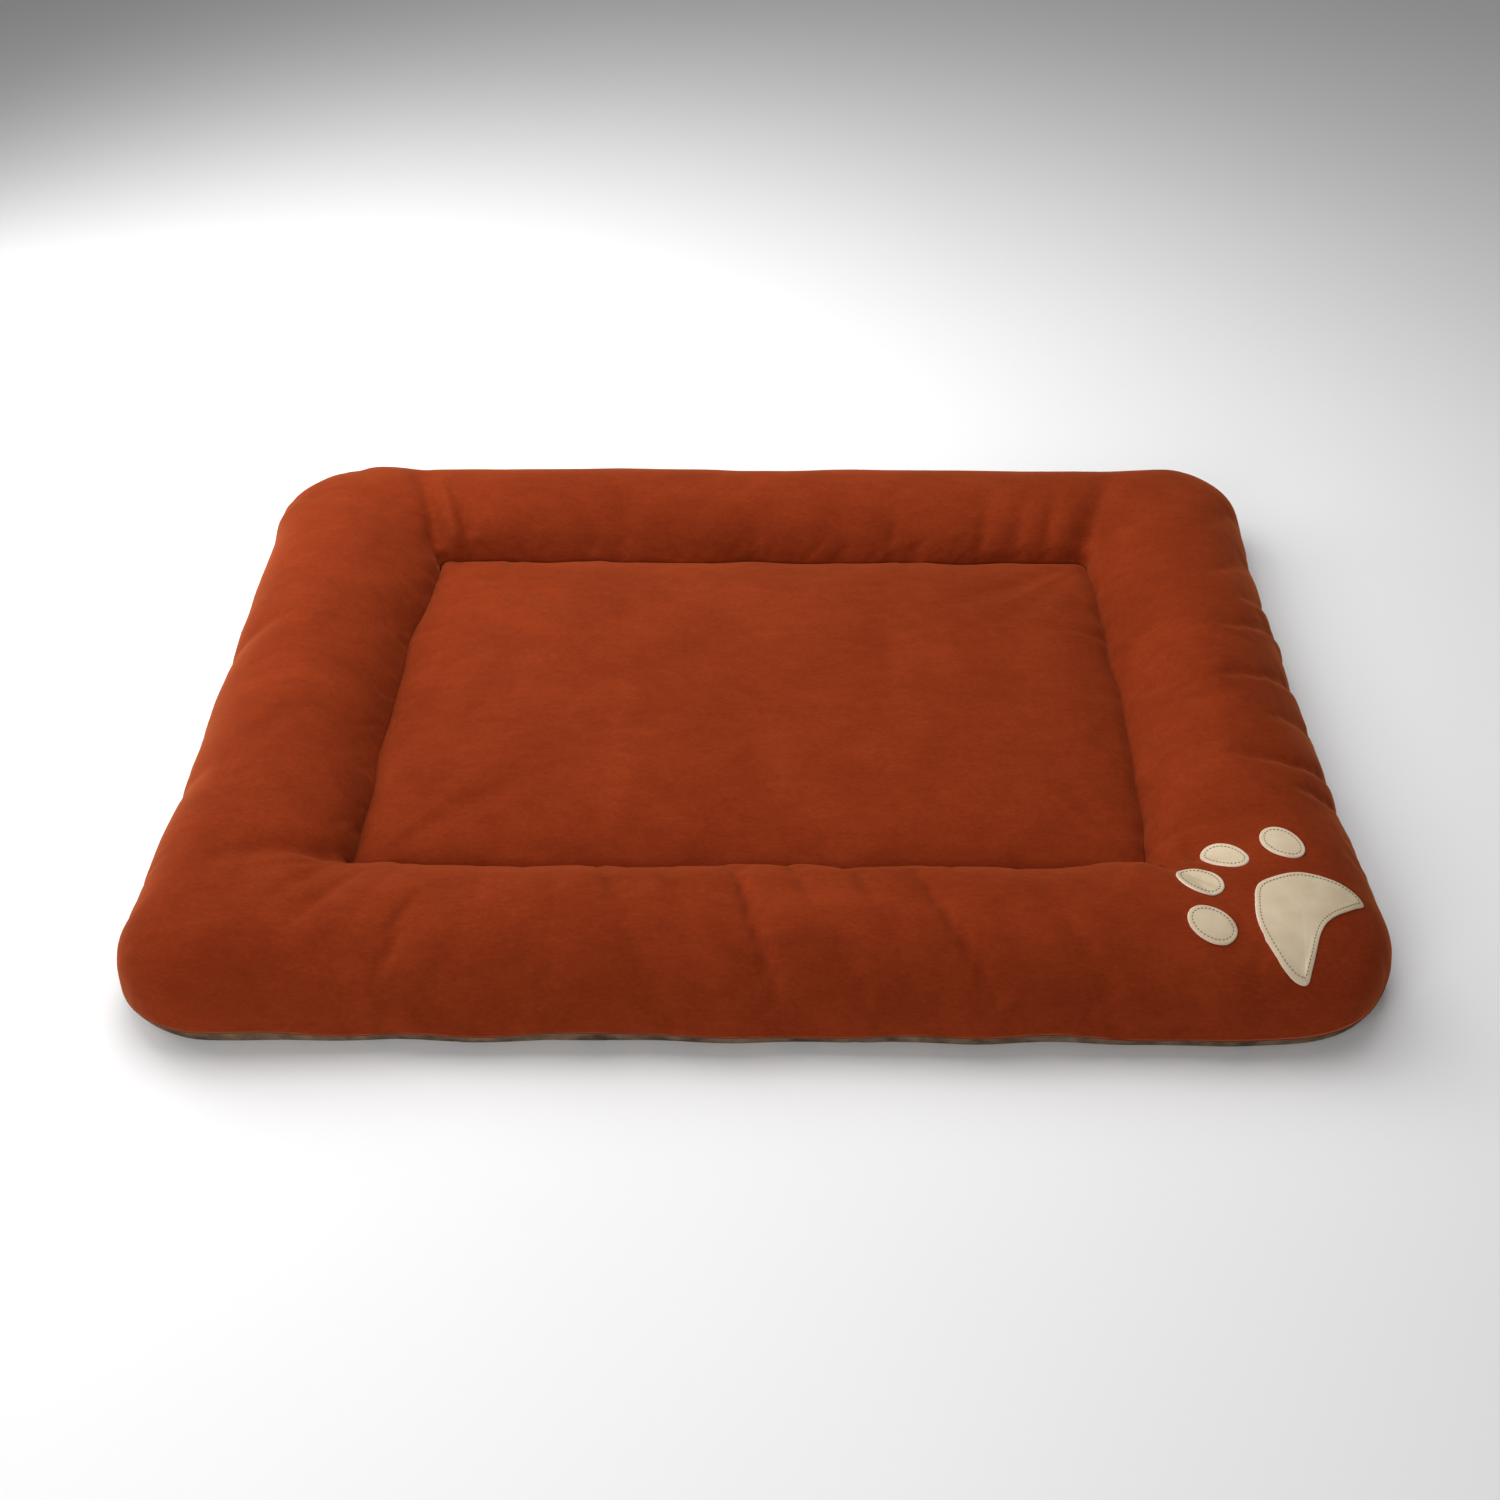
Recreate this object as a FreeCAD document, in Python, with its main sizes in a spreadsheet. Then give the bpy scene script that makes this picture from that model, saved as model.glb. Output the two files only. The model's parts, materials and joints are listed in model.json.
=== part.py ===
import FreeCAD, Part
import math
import os
import Sketcher

# Pet cushion bed: a flat mat with a puffed bolster all round and a puffed pad in the middle.
# A velvet top cover and a woven base cover are sewn together round the edge and again along a
# rectangle between bolster and pad, and hold two fillings. Five leatherette patches, each with
# its own row of stitches, make a paw on one corner of the bolster.
#
# Millimetres. X is the length, Y the width, +Z up. The origin is the middle of the underside.

# Driving dimensions: the spreadsheet holds them, and every size below is worked out from them.
SIZES = {
    "bed_length": 910,             # over the bolster, along X
    "bed_width": 670,              # over the bolster, along Y
    "bolster_height": 82,
    "side_bolster_width": 155,     # left and right, from the outer edge to the middle seam
    "front_bolster_width": 138,    # the same, front and back
    "pad_height": 58,
    "seam_height": 32,             # bottom of the valley between bolster and pad
    "web_height": 6,               # sewn web between that valley and the groove below it
    "bed_corner_radius": 95,
    "seam_corner_radius": 28,
    "base_roll": 15,               # roll of the outer bottom edge
    "side_band": 9,                # upright band above that roll
    "rim_rise": 2,                 # from the roll's top to the edge seam
    "cover_thickness": 1.5,        # velvet and base cloth alike
    "fill_clearance": 0.3,         # between each filling and the cloth
    "corner_allowance": 2,         # a roll stays this much under the corner that it goes round
    "seam_thread": 0.6,            # width of the thread in the two long seams
    "patch_thickness": 1.2,
    "patch_thread": 0.5,           # diameter of the thread on the patches
    "stitch_length": 1.6,
    "stitch_pitch": 2.7,
    "stitch_inset": 3.0,           # from a patch's edge to its row of stitches
    "paw_from_side": 71,           # middle of the main pad to the bed's right edge
    "paw_from_front": 60,          # and to its front edge
    "paw_angle": 140,              # direction of the paw's toes, from +X
    "main_pad_length": 63,
    "main_pad_width": 88,
    "toe_length": 35,
    "toe_width": 26.5,
    "outer_toe_reach": 50,         # outer toes, along the paw from the middle of the main pad
    "outer_toe_spread": 51,        # and across it
    "inner_toe_reach": 77,
    "inner_toe_spread": 19,
}

# Half outline of the main pad, from apex to base: shares of its length along the paw and of its
# half width across it. The base curves in between two narrow lobes.
MAIN_PAD_HALF = (
    (0.68, 0.0),
    (0.60, 0.31),
    (0.41, 0.68),
    (0.08, 0.94),
    (-0.14, 1.00),
    (-0.27, 0.95),
    (-0.315, 0.87),
    (-0.29, 0.75),
    (-0.235, 0.52),
    (-0.17, 0.25),
    (-0.145, 0.0),
)

# Toes: side of the paw (-1 towards the bed's front, +1 towards its right side) and place.
TOES = {
    "paw_toe_front_outer": ("outer", -1),
    "paw_toe_front_inner": ("inner", -1),
    "paw_toe_side_inner": ("inner", 1),
    "paw_toe_side_outer": ("outer", 1),
}

# Two heights or lengths this close are the same.
TOLERANCE = 0.01


def make_sheet(doc):
    """Put the driving dimensions in a spreadsheet, one aliased cell each."""
    sheet = doc.addObject("Spreadsheet::Sheet", "sizes")
    for row, (alias, value) in enumerate(SIZES.items(), start=1):
        sheet.set(f"A{row}", alias)
        sheet.set(f"B{row}", str(value))
        sheet.setAlias(f"B{row}", alias)
    doc.recompute()
    return sheet


def cell(alias):
    """The name of one of the sheet's cells, for use in an expression."""
    return f"<<sizes>>.{alias}"


def value_of(doc, expression):
    """The number that an expression comes to."""
    result = doc.getObject("sizes").evalExpression(expression)
    return float(getattr(result, "Value", result))


# Expressions that more than one piece uses.
SEAM_LENGTH = f"({cell('bed_length')} - 2 * {cell('side_bolster_width')})"
SEAM_WIDTH = f"({cell('bed_width')} - 2 * {cell('front_bolster_width')})"
ROLL_LIMIT = f"({cell('seam_corner_radius')} - {cell('corner_allowance')})"
OUTER_ROLL = f"({cell('bolster_height')} - {cell('base_roll')} - {cell('side_band')})"
INNER_ROLL = f"({cell('bolster_height')} - {cell('seam_height')})"
PAD_ROLL = f"min({cell('pad_height')} - {cell('seam_height')}; {ROLL_LIMIT})"
GROOVE_ROLL = f"min({cell('seam_height')} - {cell('web_height')}; {ROLL_LIMIT})"
RIM_HEIGHT = f"({cell('base_roll')} + {cell('rim_rise')})"
WEB_MIDDLE = f"(({GROOVE_ROLL} + {cell('seam_height')}) / 2)"
FILL_INSET = f"({cell('cover_thickness')} + {cell('fill_clearance')})"


def origin_plane(body, role):
    """One of a body's own origin planes."""
    for feature in body.Origin.OriginFeatures:
        if feature.Role == role:
            return feature
    raise RuntimeError(f"{body.Name} has no {role}")


def add_sketch(body, name, height):
    """Add a sketch on the body's XY plane, raised to a height."""
    sketch = body.newObject("Sketcher::SketchObject", name)
    sketch.AttachmentSupport = [(origin_plane(body, "XY_Plane"), "")]
    sketch.MapMode = "FlatFace"
    sketch.setExpression("AttachmentOffset.Base.z", height)
    return sketch


def add_rounded_rectangle(doc, sketch, prefix, length, width, radius):
    """Draw a rounded rectangle about the sketch's origin and bind its three sizes."""
    half_x = value_of(doc, length) / 2
    half_y = value_of(doc, width) / 2
    corner = value_of(doc, radius)
    centre_x = half_x - corner
    centre_y = half_y - corner
    first = sketch.GeometryCount
    quarter = math.pi / 2
    corners = (
        (centre_x, -centre_y),
        (centre_x, centre_y),
        (-centre_x, centre_y),
        (-centre_x, -centre_y),
    )
    sides = (
        ((-centre_x, -half_y), (centre_x, -half_y)),
        ((half_x, -centre_y), (half_x, centre_y)),
        ((centre_x, half_y), (-centre_x, half_y)),
        ((-half_x, centre_y), (-half_x, -centre_y)),
    )
    for side, (start, end) in enumerate(sides):
        sketch.addGeometry(Part.LineSegment(FreeCAD.Vector(*start, 0), FreeCAD.Vector(*end, 0)), False)
        circle = Part.Circle(FreeCAD.Vector(*corners[side], 0), FreeCAD.Vector(0, 0, 1), corner)
        arc = Part.ArcOfCircle(circle, (side - 1) * quarter, side * quarter)
        sketch.addGeometry(arc, False)

    # Each side runs smoothly into the arc after it, and each arc into the next side.
    for side in range(4):
        line = first + 2 * side
        arc = line + 1
        next_line = first + (2 * side + 2) % 8
        sketch.addConstraint(Sketcher.Constraint("Tangent", line, 2, arc, 1))
        sketch.addConstraint(Sketcher.Constraint("Tangent", arc, 2, next_line, 1))
        direction = "Horizontal" if side % 2 == 0 else "Vertical"
        sketch.addConstraint(Sketcher.Constraint(direction, line))
    for side in range(1, 4):
        sketch.addConstraint(Sketcher.Constraint("Equal", first + 1, first + 1 + 2 * side))
    sketch.addConstraint(Sketcher.Constraint("Symmetric", first + 1, 3, first + 5, 3, -1, 1))

    dimensions = (
        ("length", Sketcher.Constraint("DistanceX", first + 6, 1, first + 2, 1, 2 * half_x), length),
        ("width", Sketcher.Constraint("DistanceY", first, 1, first + 4, 1, 2 * half_y), width),
        ("radius", Sketcher.Constraint("Radius", first + 1, corner), radius),
    )
    for word, constraint, expression in dimensions:
        index = sketch.addConstraint(constraint)
        sketch.renameConstraint(index, f"{prefix}_{word}")
        sketch.setExpression(f"Constraints.{prefix}_{word}", expression)


def add_pad(body, sketch, name, length):
    """Pad a sketch upwards by a bound length."""
    pad = body.newObject("PartDesign::Pad", name)
    pad.Profile = sketch
    pad.setExpression("Length", length)
    body.Document.recompute()
    return pad


def edge_names(shape, height, half_length, half_width, inside):
    """Names of the edges at one height, inside or outside a rectangle about the origin."""
    names = []
    for number, edge in enumerate(shape.Edges, start=1):
        level = all(abs(vertex.Z - height) < TOLERANCE for vertex in edge.Vertexes)
        within = all(
            abs(vertex.X) < half_length + TOLERANCE and abs(vertex.Y) < half_width + TOLERANCE
            for vertex in edge.Vertexes
        )
        if level and within == inside:
            names.append(f"Edge{number}")
    return names


def add_fillet(body, name, base, edges, radius):
    """Round the named edges of a feature by a bound radius."""
    fillet = body.newObject("PartDesign::Fillet", name)
    fillet.Base = (base, edges)
    fillet.setExpression("Radius", radius)
    body.Document.recompute()
    return fillet


def make_ring(doc, name, inset):
    """The bolster's outer shape, moved inwards by an inset: a ring that is rolled on all edges."""
    body = doc.addObject("PartDesign::Body", name)
    sketch = add_sketch(body, f"{name}_outline", inset)
    outer = (f"{cell('bed_length')} - 2 * {inset}", f"{cell('bed_width')} - 2 * {inset}")
    inner = (f"{SEAM_LENGTH} + 2 * {inset}", f"{SEAM_WIDTH} + 2 * {inset}")
    add_rounded_rectangle(doc, sketch, "outer", *outer, f"{cell('bed_corner_radius')} - {inset}")
    add_rounded_rectangle(doc, sketch, "inner", *inner, f"{cell('seam_corner_radius')} + {inset}")
    feature = add_pad(body, sketch, f"{name}_block", f"{cell('bolster_height')} - 2 * {inset}")

    bottom = value_of(doc, inset)
    top = value_of(doc, f"{cell('bolster_height')} - {inset}")
    hole = (value_of(doc, inner[0]) / 2, value_of(doc, inner[1]) / 2)
    rolls = (
        ("outer_top", top, False, OUTER_ROLL),
        ("outer_bottom", bottom, False, cell("base_roll")),
        ("inner_top", top, True, INNER_ROLL),
        ("inner_bottom", bottom, True, GROOVE_ROLL),
    )
    for place, height, inside, roll in rolls:
        edges = edge_names(feature.Shape, height, *hole, inside)
        feature = add_fillet(body, f"{name}_{place}", feature, edges, f"{roll} - {inset}")
    body.Tip = feature
    return body


def make_middle(doc, name, inset):
    """The pad's outer shape inside the seam, moved inwards by an inset."""
    body = doc.addObject("PartDesign::Body", name)
    sketch = add_sketch(body, f"{name}_outline", inset)
    sides = (f"{SEAM_LENGTH} - 2 * {inset}", f"{SEAM_WIDTH} - 2 * {inset}")
    add_rounded_rectangle(doc, sketch, "outer", *sides, f"{cell('seam_corner_radius')} - {inset}")
    feature = add_pad(body, sketch, f"{name}_block", f"{cell('pad_height')} - 2 * {inset}")

    bottom = value_of(doc, inset)
    top = value_of(doc, f"{cell('pad_height')} - {inset}")
    reach = (value_of(doc, sides[0]), value_of(doc, sides[1]))
    for place, height, roll in (("top", top, PAD_ROLL), ("bottom", bottom, GROOVE_ROLL)):
        edges = edge_names(feature.Shape, height, *reach, True)
        feature = add_fillet(body, f"{name}_{place}", feature, edges, f"{roll} - {inset}")
    body.Tip = feature
    return body


def make_boolean(doc, kind, name, base, tool):
    """A Part::Cut, Part::Common or Part::Fuse of two objects."""
    result = doc.addObject(f"Part::{kind}", name)
    result.Base = base
    result.Tool = tool
    doc.recompute()
    return result


def make_seam_thread(doc, name, height, length, width, radius):
    """A square thread that runs in the cloth along a rounded rectangle."""
    half = f"{cell('seam_thread')} / 2"
    body = doc.addObject("PartDesign::Body", name)
    sketch = add_sketch(body, f"{name}_path", f"{height} - {half}")
    for side, sign in (("outer", "+"), ("inner", "-")):
        sizes = (f"{length} {sign} 2 * {half}", f"{width} {sign} 2 * {half}", f"{radius} {sign} {half}")
        add_rounded_rectangle(doc, sketch, side, *sizes)
    body.Tip = add_pad(body, sketch, f"{name}_run", cell("seam_thread"))
    return body


def make_lower_region(doc):
    """The space below the two seams: all of it belongs to the base cover."""
    slab = doc.addObject("Part::Box", "below_edge_seam")
    hump = doc.addObject("Part::Box", "below_middle_seam")
    hump_length = f"({SEAM_LENGTH} + {cell('side_bolster_width')})"
    hump_width = f"({SEAM_WIDTH} + {cell('front_bolster_width')})"
    boxes = (
        (slab, cell("bed_length"), cell("bed_width"), RIM_HEIGHT),
        (hump, hump_length, hump_width, WEB_MIDDLE),
    )
    for box, length, width, height in boxes:
        box.setExpression("Length", length)
        box.setExpression("Width", width)
        box.setExpression("Height", height)
        box.setExpression("Placement.Base.x", f"-{length} / 2")
        box.setExpression("Placement.Base.y", f"-{width} / 2")
    return make_boolean(doc, "Fuse", "lower_region", slab, hump)


def make_covers(doc):
    """The velvet top cover, the base cover and the threads that join them."""
    outer_ring = make_ring(doc, "ring_outside", "0")
    outer_middle = make_middle(doc, "middle_outside", "0")
    inner_ring = make_ring(doc, "ring_inside", cell("cover_thickness"))
    inner_middle = make_middle(doc, "middle_inside", cell("cover_thickness"))
    outside = make_boolean(doc, "Fuse", "bed_outside", outer_ring, outer_middle)
    inside = make_boolean(doc, "Fuse", "bed_inside", inner_ring, inner_middle)
    cloth = make_boolean(doc, "Cut", "cloth", outside, inside)

    # The edge seam runs in the middle of the cloth's thickness, the middle seam along the web.
    thickness = cell("cover_thickness")
    edge_thread = make_seam_thread(
        doc, "edge_seam_thread", RIM_HEIGHT, f"{cell('bed_length')} - {thickness}",
        f"{cell('bed_width')} - {thickness}", f"{cell('bed_corner_radius')} - {thickness} / 2",
    )
    middle_thread = make_seam_thread(
        doc, "middle_seam_thread", WEB_MIDDLE, SEAM_LENGTH, SEAM_WIDTH, cell("seam_corner_radius"),
    )
    threads = make_boolean(doc, "Fuse", "both_seam_threads", edge_thread, middle_thread)
    sewn_cloth = make_boolean(doc, "Cut", "sewn_cloth", cloth, threads)
    lower_region = make_lower_region(doc)
    top_cover = make_boolean(doc, "Cut", "top_cover", sewn_cloth, lower_region)
    base_cover = make_boolean(doc, "Common", "base_cover", sewn_cloth, lower_region)
    return outside, [top_cover, base_cover, edge_thread, middle_thread]


def make_fillings(doc):
    """The bolster's ring of filling and the pad's own filling."""
    return [make_ring(doc, "bolster_fill", FILL_INSET), make_middle(doc, "centre_fill", FILL_INSET)]


def bolster_top(doc, point, lift):
    """Height of the bolster's top at a point in plan, on the surface moved outwards by a lift."""
    top = value_of(doc, cell("bolster_height")) + lift
    outer_roll = value_of(doc, OUTER_ROLL) + lift
    inner_roll = value_of(doc, INNER_ROLL) + lift
    outer = (cell("bed_length"), cell("bed_width"), cell("bed_corner_radius"))
    inner = (SEAM_LENGTH, SEAM_WIDTH, cell("seam_corner_radius"))
    from_outer = lift - edge_distance(point, *(value_of(doc, size) for size in outer))
    from_inner = lift + edge_distance(point, *(value_of(doc, size) for size in inner))
    drop = 0
    if from_outer < outer_roll:
        drop = outer_roll - math.sqrt(outer_roll**2 - (outer_roll - from_outer)**2)
    elif from_inner < inner_roll:
        drop = inner_roll - math.sqrt(inner_roll**2 - (inner_roll - from_inner)**2)
    return top - drop


def edge_distance(point, length, width, radius):
    """Distance in plan from a point to a rounded rectangle about the origin, negative inside."""
    beyond_x = abs(point.x) - (length / 2 - radius)
    beyond_y = abs(point.y) - (width / 2 - radius)
    outside = math.hypot(max(beyond_x, 0), max(beyond_y, 0))
    return outside + min(max(beyond_x, beyond_y), 0) - radius


def paw_placement(doc, along, across):
    """Where a patch lies, and its turn: the patch's own X axis runs along the paw."""
    angle = value_of(doc, cell("paw_angle"))
    middle = FreeCAD.Vector(
        value_of(doc, f"{cell('bed_length')} / 2 - {cell('paw_from_side')}"),
        value_of(doc, f"{cell('paw_from_front')} - {cell('bed_width')} / 2"),
        0,
    )
    turn = FreeCAD.Rotation(FreeCAD.Vector(0, 0, 1), angle)
    # Across the paw, the side towards the bed's right is the clockwise one.
    return FreeCAD.Placement(middle + turn.multVec(FreeCAD.Vector(along, -across, 0)), turn)


def main_pad_curve(doc):
    """The main pad's outline: a smooth closed curve through the half outline and its mirror."""
    length = value_of(doc, cell("main_pad_length"))
    half_width = value_of(doc, cell("main_pad_width")) / 2
    half = [FreeCAD.Vector(along * length, across * half_width, 0) for along, across in MAIN_PAD_HALF]
    mirrored = [FreeCAD.Vector(point.x, -point.y, 0) for point in reversed(half[1:-1])]
    curve = Part.BSplineCurve()
    curve.interpolate(Points=half + mirrored, PeriodicFlag=True)
    return curve


def toe_curve(doc):
    """A toe's outline: an ellipse along the paw."""
    long_radius = value_of(doc, cell("toe_length")) / 2
    short_radius = value_of(doc, cell("toe_width")) / 2
    return Part.Ellipse(FreeCAD.Vector(0, 0, 0), long_radius, short_radius)


def make_patch(doc, name, curve, placement, lifted_ring, outside):
    """A leatherette patch that lies on the bolster: the lifted surface over the patch's outline."""
    prism = doc.addObject("Part::Feature", f"{name}_outline")
    height = value_of(doc, f"2 * {cell('bolster_height')}")
    prism.Shape = Part.Face(Part.Wire(curve.toShape())).extrude(FreeCAD.Vector(0, 0, height))
    prism.Placement = placement
    lifted = make_boolean(doc, "Common", f"{name}_slice", prism, lifted_ring)
    return make_boolean(doc, "Cut", name, lifted, outside)


def make_stitches(doc, name, curve, placement):
    """A patch's row of stitches: short straight threads that lie on it, inside its edge."""
    inset = value_of(doc, cell("stitch_inset"))
    pitch = value_of(doc, cell("stitch_pitch"))
    radius = value_of(doc, cell("patch_thread")) / 2
    lift = value_of(doc, cell("patch_thickness")) + radius
    share = value_of(doc, cell("stitch_length")) / pitch
    count = round(curve.length() / pitch)
    outline = curve.toShape().discretize(Number=2 * count + 1)[:-1]
    row = []
    for index, point in enumerate(outline):
        ahead = outline[(index + 1) % len(outline)] - outline[index - 1]
        inward = FreeCAD.Vector(-ahead.y, ahead.x, 0).normalize()
        row.append(point + inward * inset)
    stitches = []
    for index in range(0, len(row), 2):
        middle = row[index]
        along = (row[(index + 1) % len(row)] - row[index - 1]) * (share / 2)
        ends = []
        for side in (-1, 1):
            end = placement.multVec(middle + along * side)
            ends.append(FreeCAD.Vector(end.x, end.y, bolster_top(doc, end, lift)))
        run = ends[1] - ends[0]
        stitches.append(Part.makeCylinder(radius, run.Length, ends[0], run))
    group = doc.addObject("Part::Feature", name)
    group.Shape = Part.makeCompound(stitches)
    group.Placement = FreeCAD.Placement()
    return group


def make_paw(doc, outside):
    """The main pad and four toes, each with its stitches."""
    lifted_ring = make_ring(doc, "ring_lifted", f"(-{cell('patch_thickness')})")
    patches = [("paw_main_pad", main_pad_curve(doc), paw_placement(doc, 0, 0))]
    for name, (place, side) in TOES.items():
        along = value_of(doc, cell(f"{place}_toe_reach"))
        across = side * value_of(doc, cell(f"{place}_toe_spread"))
        patches.append((name, toe_curve(doc), paw_placement(doc, along, across)))
    pieces = []
    for name, curve, placement in patches:
        pieces.append(make_patch(doc, name, curve, placement, lifted_ring, outside))
        pieces.append(make_stitches(doc, f"{name}_stitches", curve, placement))
    return pieces


def check(doc, pieces):
    """Stop if any object failed, or any piece is missing or not valid."""
    for item in doc.Objects:
        if "Invalid" in item.State or "Error" in item.State:
            raise RuntimeError(f"{item.Label} did not compute: {item.State}")
    for piece in pieces:
        if piece.Shape.isNull() or not piece.Shape.isValid() or not piece.Shape.Solids:
            raise RuntimeError(f"{piece.Label} has no valid solid")


def main():
    doc = FreeCAD.newDocument("pet_cushion_bed")
    make_sheet(doc)
    outside, cover_pieces = make_covers(doc)
    pieces = cover_pieces + make_fillings(doc) + make_paw(doc, outside)
    for piece in pieces:
        piece.Label = piece.Name
    doc.recompute()
    check(doc, pieces)

    os.makedirs("parts", exist_ok=True)
    for piece in pieces:
        piece.Shape.exportStep(f"parts/{piece.Label}.step")
        box = piece.Shape.BoundBox
        print(
            f"{piece.Label}: {len(piece.Shape.Solids)} solids, {piece.Shape.Volume:.0f} mm3, "
            f"z {box.ZMin:.2f} to {box.ZMax:.2f}"
        )


main()
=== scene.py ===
import json
import logging
import math
from dataclasses import dataclass
from enum import Enum
from typing import Iterable, Sequence

import bpy
import numpy as np
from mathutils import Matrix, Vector


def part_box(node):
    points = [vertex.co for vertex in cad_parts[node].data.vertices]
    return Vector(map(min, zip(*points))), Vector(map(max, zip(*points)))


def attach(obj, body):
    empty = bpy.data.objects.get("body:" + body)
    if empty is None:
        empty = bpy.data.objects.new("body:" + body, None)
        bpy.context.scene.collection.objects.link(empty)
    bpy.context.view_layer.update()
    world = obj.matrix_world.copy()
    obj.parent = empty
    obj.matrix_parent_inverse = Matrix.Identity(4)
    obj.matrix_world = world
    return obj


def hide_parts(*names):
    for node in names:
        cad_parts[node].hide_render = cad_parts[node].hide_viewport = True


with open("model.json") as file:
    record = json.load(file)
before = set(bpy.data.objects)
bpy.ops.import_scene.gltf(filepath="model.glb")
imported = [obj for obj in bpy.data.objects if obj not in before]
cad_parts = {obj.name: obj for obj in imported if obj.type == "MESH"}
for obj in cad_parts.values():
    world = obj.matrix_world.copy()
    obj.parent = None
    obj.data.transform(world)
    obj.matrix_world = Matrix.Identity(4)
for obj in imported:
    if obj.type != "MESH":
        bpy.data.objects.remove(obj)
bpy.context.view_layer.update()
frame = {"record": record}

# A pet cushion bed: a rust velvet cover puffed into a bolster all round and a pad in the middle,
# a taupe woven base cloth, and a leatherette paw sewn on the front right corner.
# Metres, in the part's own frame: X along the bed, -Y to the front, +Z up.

LOG = logging.getLogger("pet_cushion_bed")
MM = 0.001
THREAD_SIDES = 6


# ---------------------------------------------------------------- colours and nodes

def linear(hex_colour: str) -> tuple[float, float, float, float]:
    """Turn an sRGB hex colour into linear light.

    Args:
        hex_colour: Six hex digits with a leading hash.

    Returns:
        Red, green, blue and full alpha.
    """
    srgb = [int(hex_colour[index:index + 2], 16) / 255 for index in (1, 3, 5)]
    light = [c / 12.92 if c <= 0.04045 else ((c + 0.055) / 1.055) ** 2.4 for c in srgb]
    return (*light, 1.0)


def add_node(tree: bpy.types.NodeTree, kind: str, values: dict | None = None,
             links: dict | None = None, stops: Sequence[tuple[float, str]] = (),
             **settings: object) -> bpy.types.Node:
    """Add a node, set it up and link its inputs.

    Args:
        tree: The node tree it goes in.
        kind: The node's type name.
        values: Fixed values, by input name or number.
        links: Output sockets to link, by input name or number.
        stops: A colour ramp's stops, from low to high: place and hex colour of each.
        **settings: The node's own settings.

    Returns:
        The new node.
    """
    made = tree.nodes.new(kind)
    for name, value in settings.items():
        setattr(made, name, value)
    for name, value in (values or {}).items():
        made.inputs[name].default_value = value
    for name, source in (links or {}).items():
        tree.links.new(source, made.inputs[name])
    while len(stops) > 2 and len(made.color_ramp.elements) < len(stops):
        made.color_ramp.elements.new(0.5)
    for index, (place, colour) in enumerate(stops):
        made.color_ramp.elements[index].position = place
        made.color_ramp.elements[index].color = linear(colour)
    return made


class Finish:
    """A material that is made once, from its own dataclass of values."""

    name = "finish"

    def material(self) -> bpy.types.Material:
        """Find the material, or build it the first time.

        Returns:
            The material.
        """
        found = bpy.data.materials.get(self.name)
        if found is None:
            found = bpy.data.materials.new(self.name)
            found.use_nodes = True
            tree = found.node_tree
            tree.nodes.clear()
            shader = self.shade(tree)
            add_node(tree, "ShaderNodeOutputMaterial", links={"Surface": shader.outputs[0]})
        return found

    def shade(self, tree: bpy.types.NodeTree) -> bpy.types.Node:
        """Build the shader. Each finish has its own."""
        raise NotImplementedError


@dataclass(frozen=True)
class Velvet(Finish):
    """Short-pile polyester velvet, cut pile on a knitted back.

    The pile leans one way or another wherever it was stroked, which gives soft lighter and darker
    clouds, and its tips catch light at a grazing angle, which is the sheen.
    """

    name: str = "rust_cut_pile_velvet"
    deep: str = "#752911"
    middle: str = "#802f14"
    light: str = "#8b3518"
    stroke_mm: float = 70.0
    streak_mm: float = 9.0
    pile_mm: float = 2.0
    lean: float = 0.45

    def shade(self, tree: bpy.types.NodeTree) -> bpy.types.Node:
        """Mix stroked clouds, finer streaks and single tufts, and bump the finer two.

        Args:
            tree: The material's node tree.

        Returns:
            The shader.
        """
        place = add_node(tree, "ShaderNodeTexCoord").outputs["Object"]
        leaning = add_node(tree, "ShaderNodeMapping", {"Scale": (self.lean, 1.0, 1.0)},
                           {"Vector": place}).outputs[0]
        layers = (
            (0.24, self.streak_mm, leaning, {"Detail": 4.0, "Roughness": 0.6}),
            (0.36, self.pile_mm, leaning, {"Detail": 2.0, "Roughness": 0.7}),
            (0.40, self.stroke_mm, place, {"Detail": 3.0, "Roughness": 0.55, "Distortion": 0.6}),
        )
        parts = []
        for share, size, where, look in layers:
            noise = add_node(tree, "ShaderNodeTexNoise", {"Scale": 1 / (size * MM), **look},
                             {"Vector": where})
            parts.append(add_node(tree, "ShaderNodeMath", {1: share}, {0: noise.outputs[0]},
                                  operation="MULTIPLY").outputs[0])
        streaks, tufts, stroked = parts
        fine = add_node(tree, "ShaderNodeMath", links={0: streaks, 1: tufts}).outputs[0]
        nap = add_node(tree, "ShaderNodeMath", links={0: fine, 1: stroked}).outputs[0]
        colour = add_node(tree, "ShaderNodeValToRGB", links={0: nap}, stops=(
            (0.36, self.deep), (0.5, self.middle), (0.64, self.light),
        )).outputs[0]
        bump = add_node(tree, "ShaderNodeBump", {"Strength": 0.35, "Distance": 0.25 * MM}, {"Height": fine})
        return add_node(tree, "ShaderNodeBsdfPrincipled", {
            "Roughness": 0.95, "Specular IOR Level": 0.02, "Sheen Weight": 0.50, "Sheen Roughness": 0.36,
            "Sheen Tint": linear("#dc824e"),
        }, {"Base Color": colour, "Normal": bump.outputs[0]})


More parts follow.
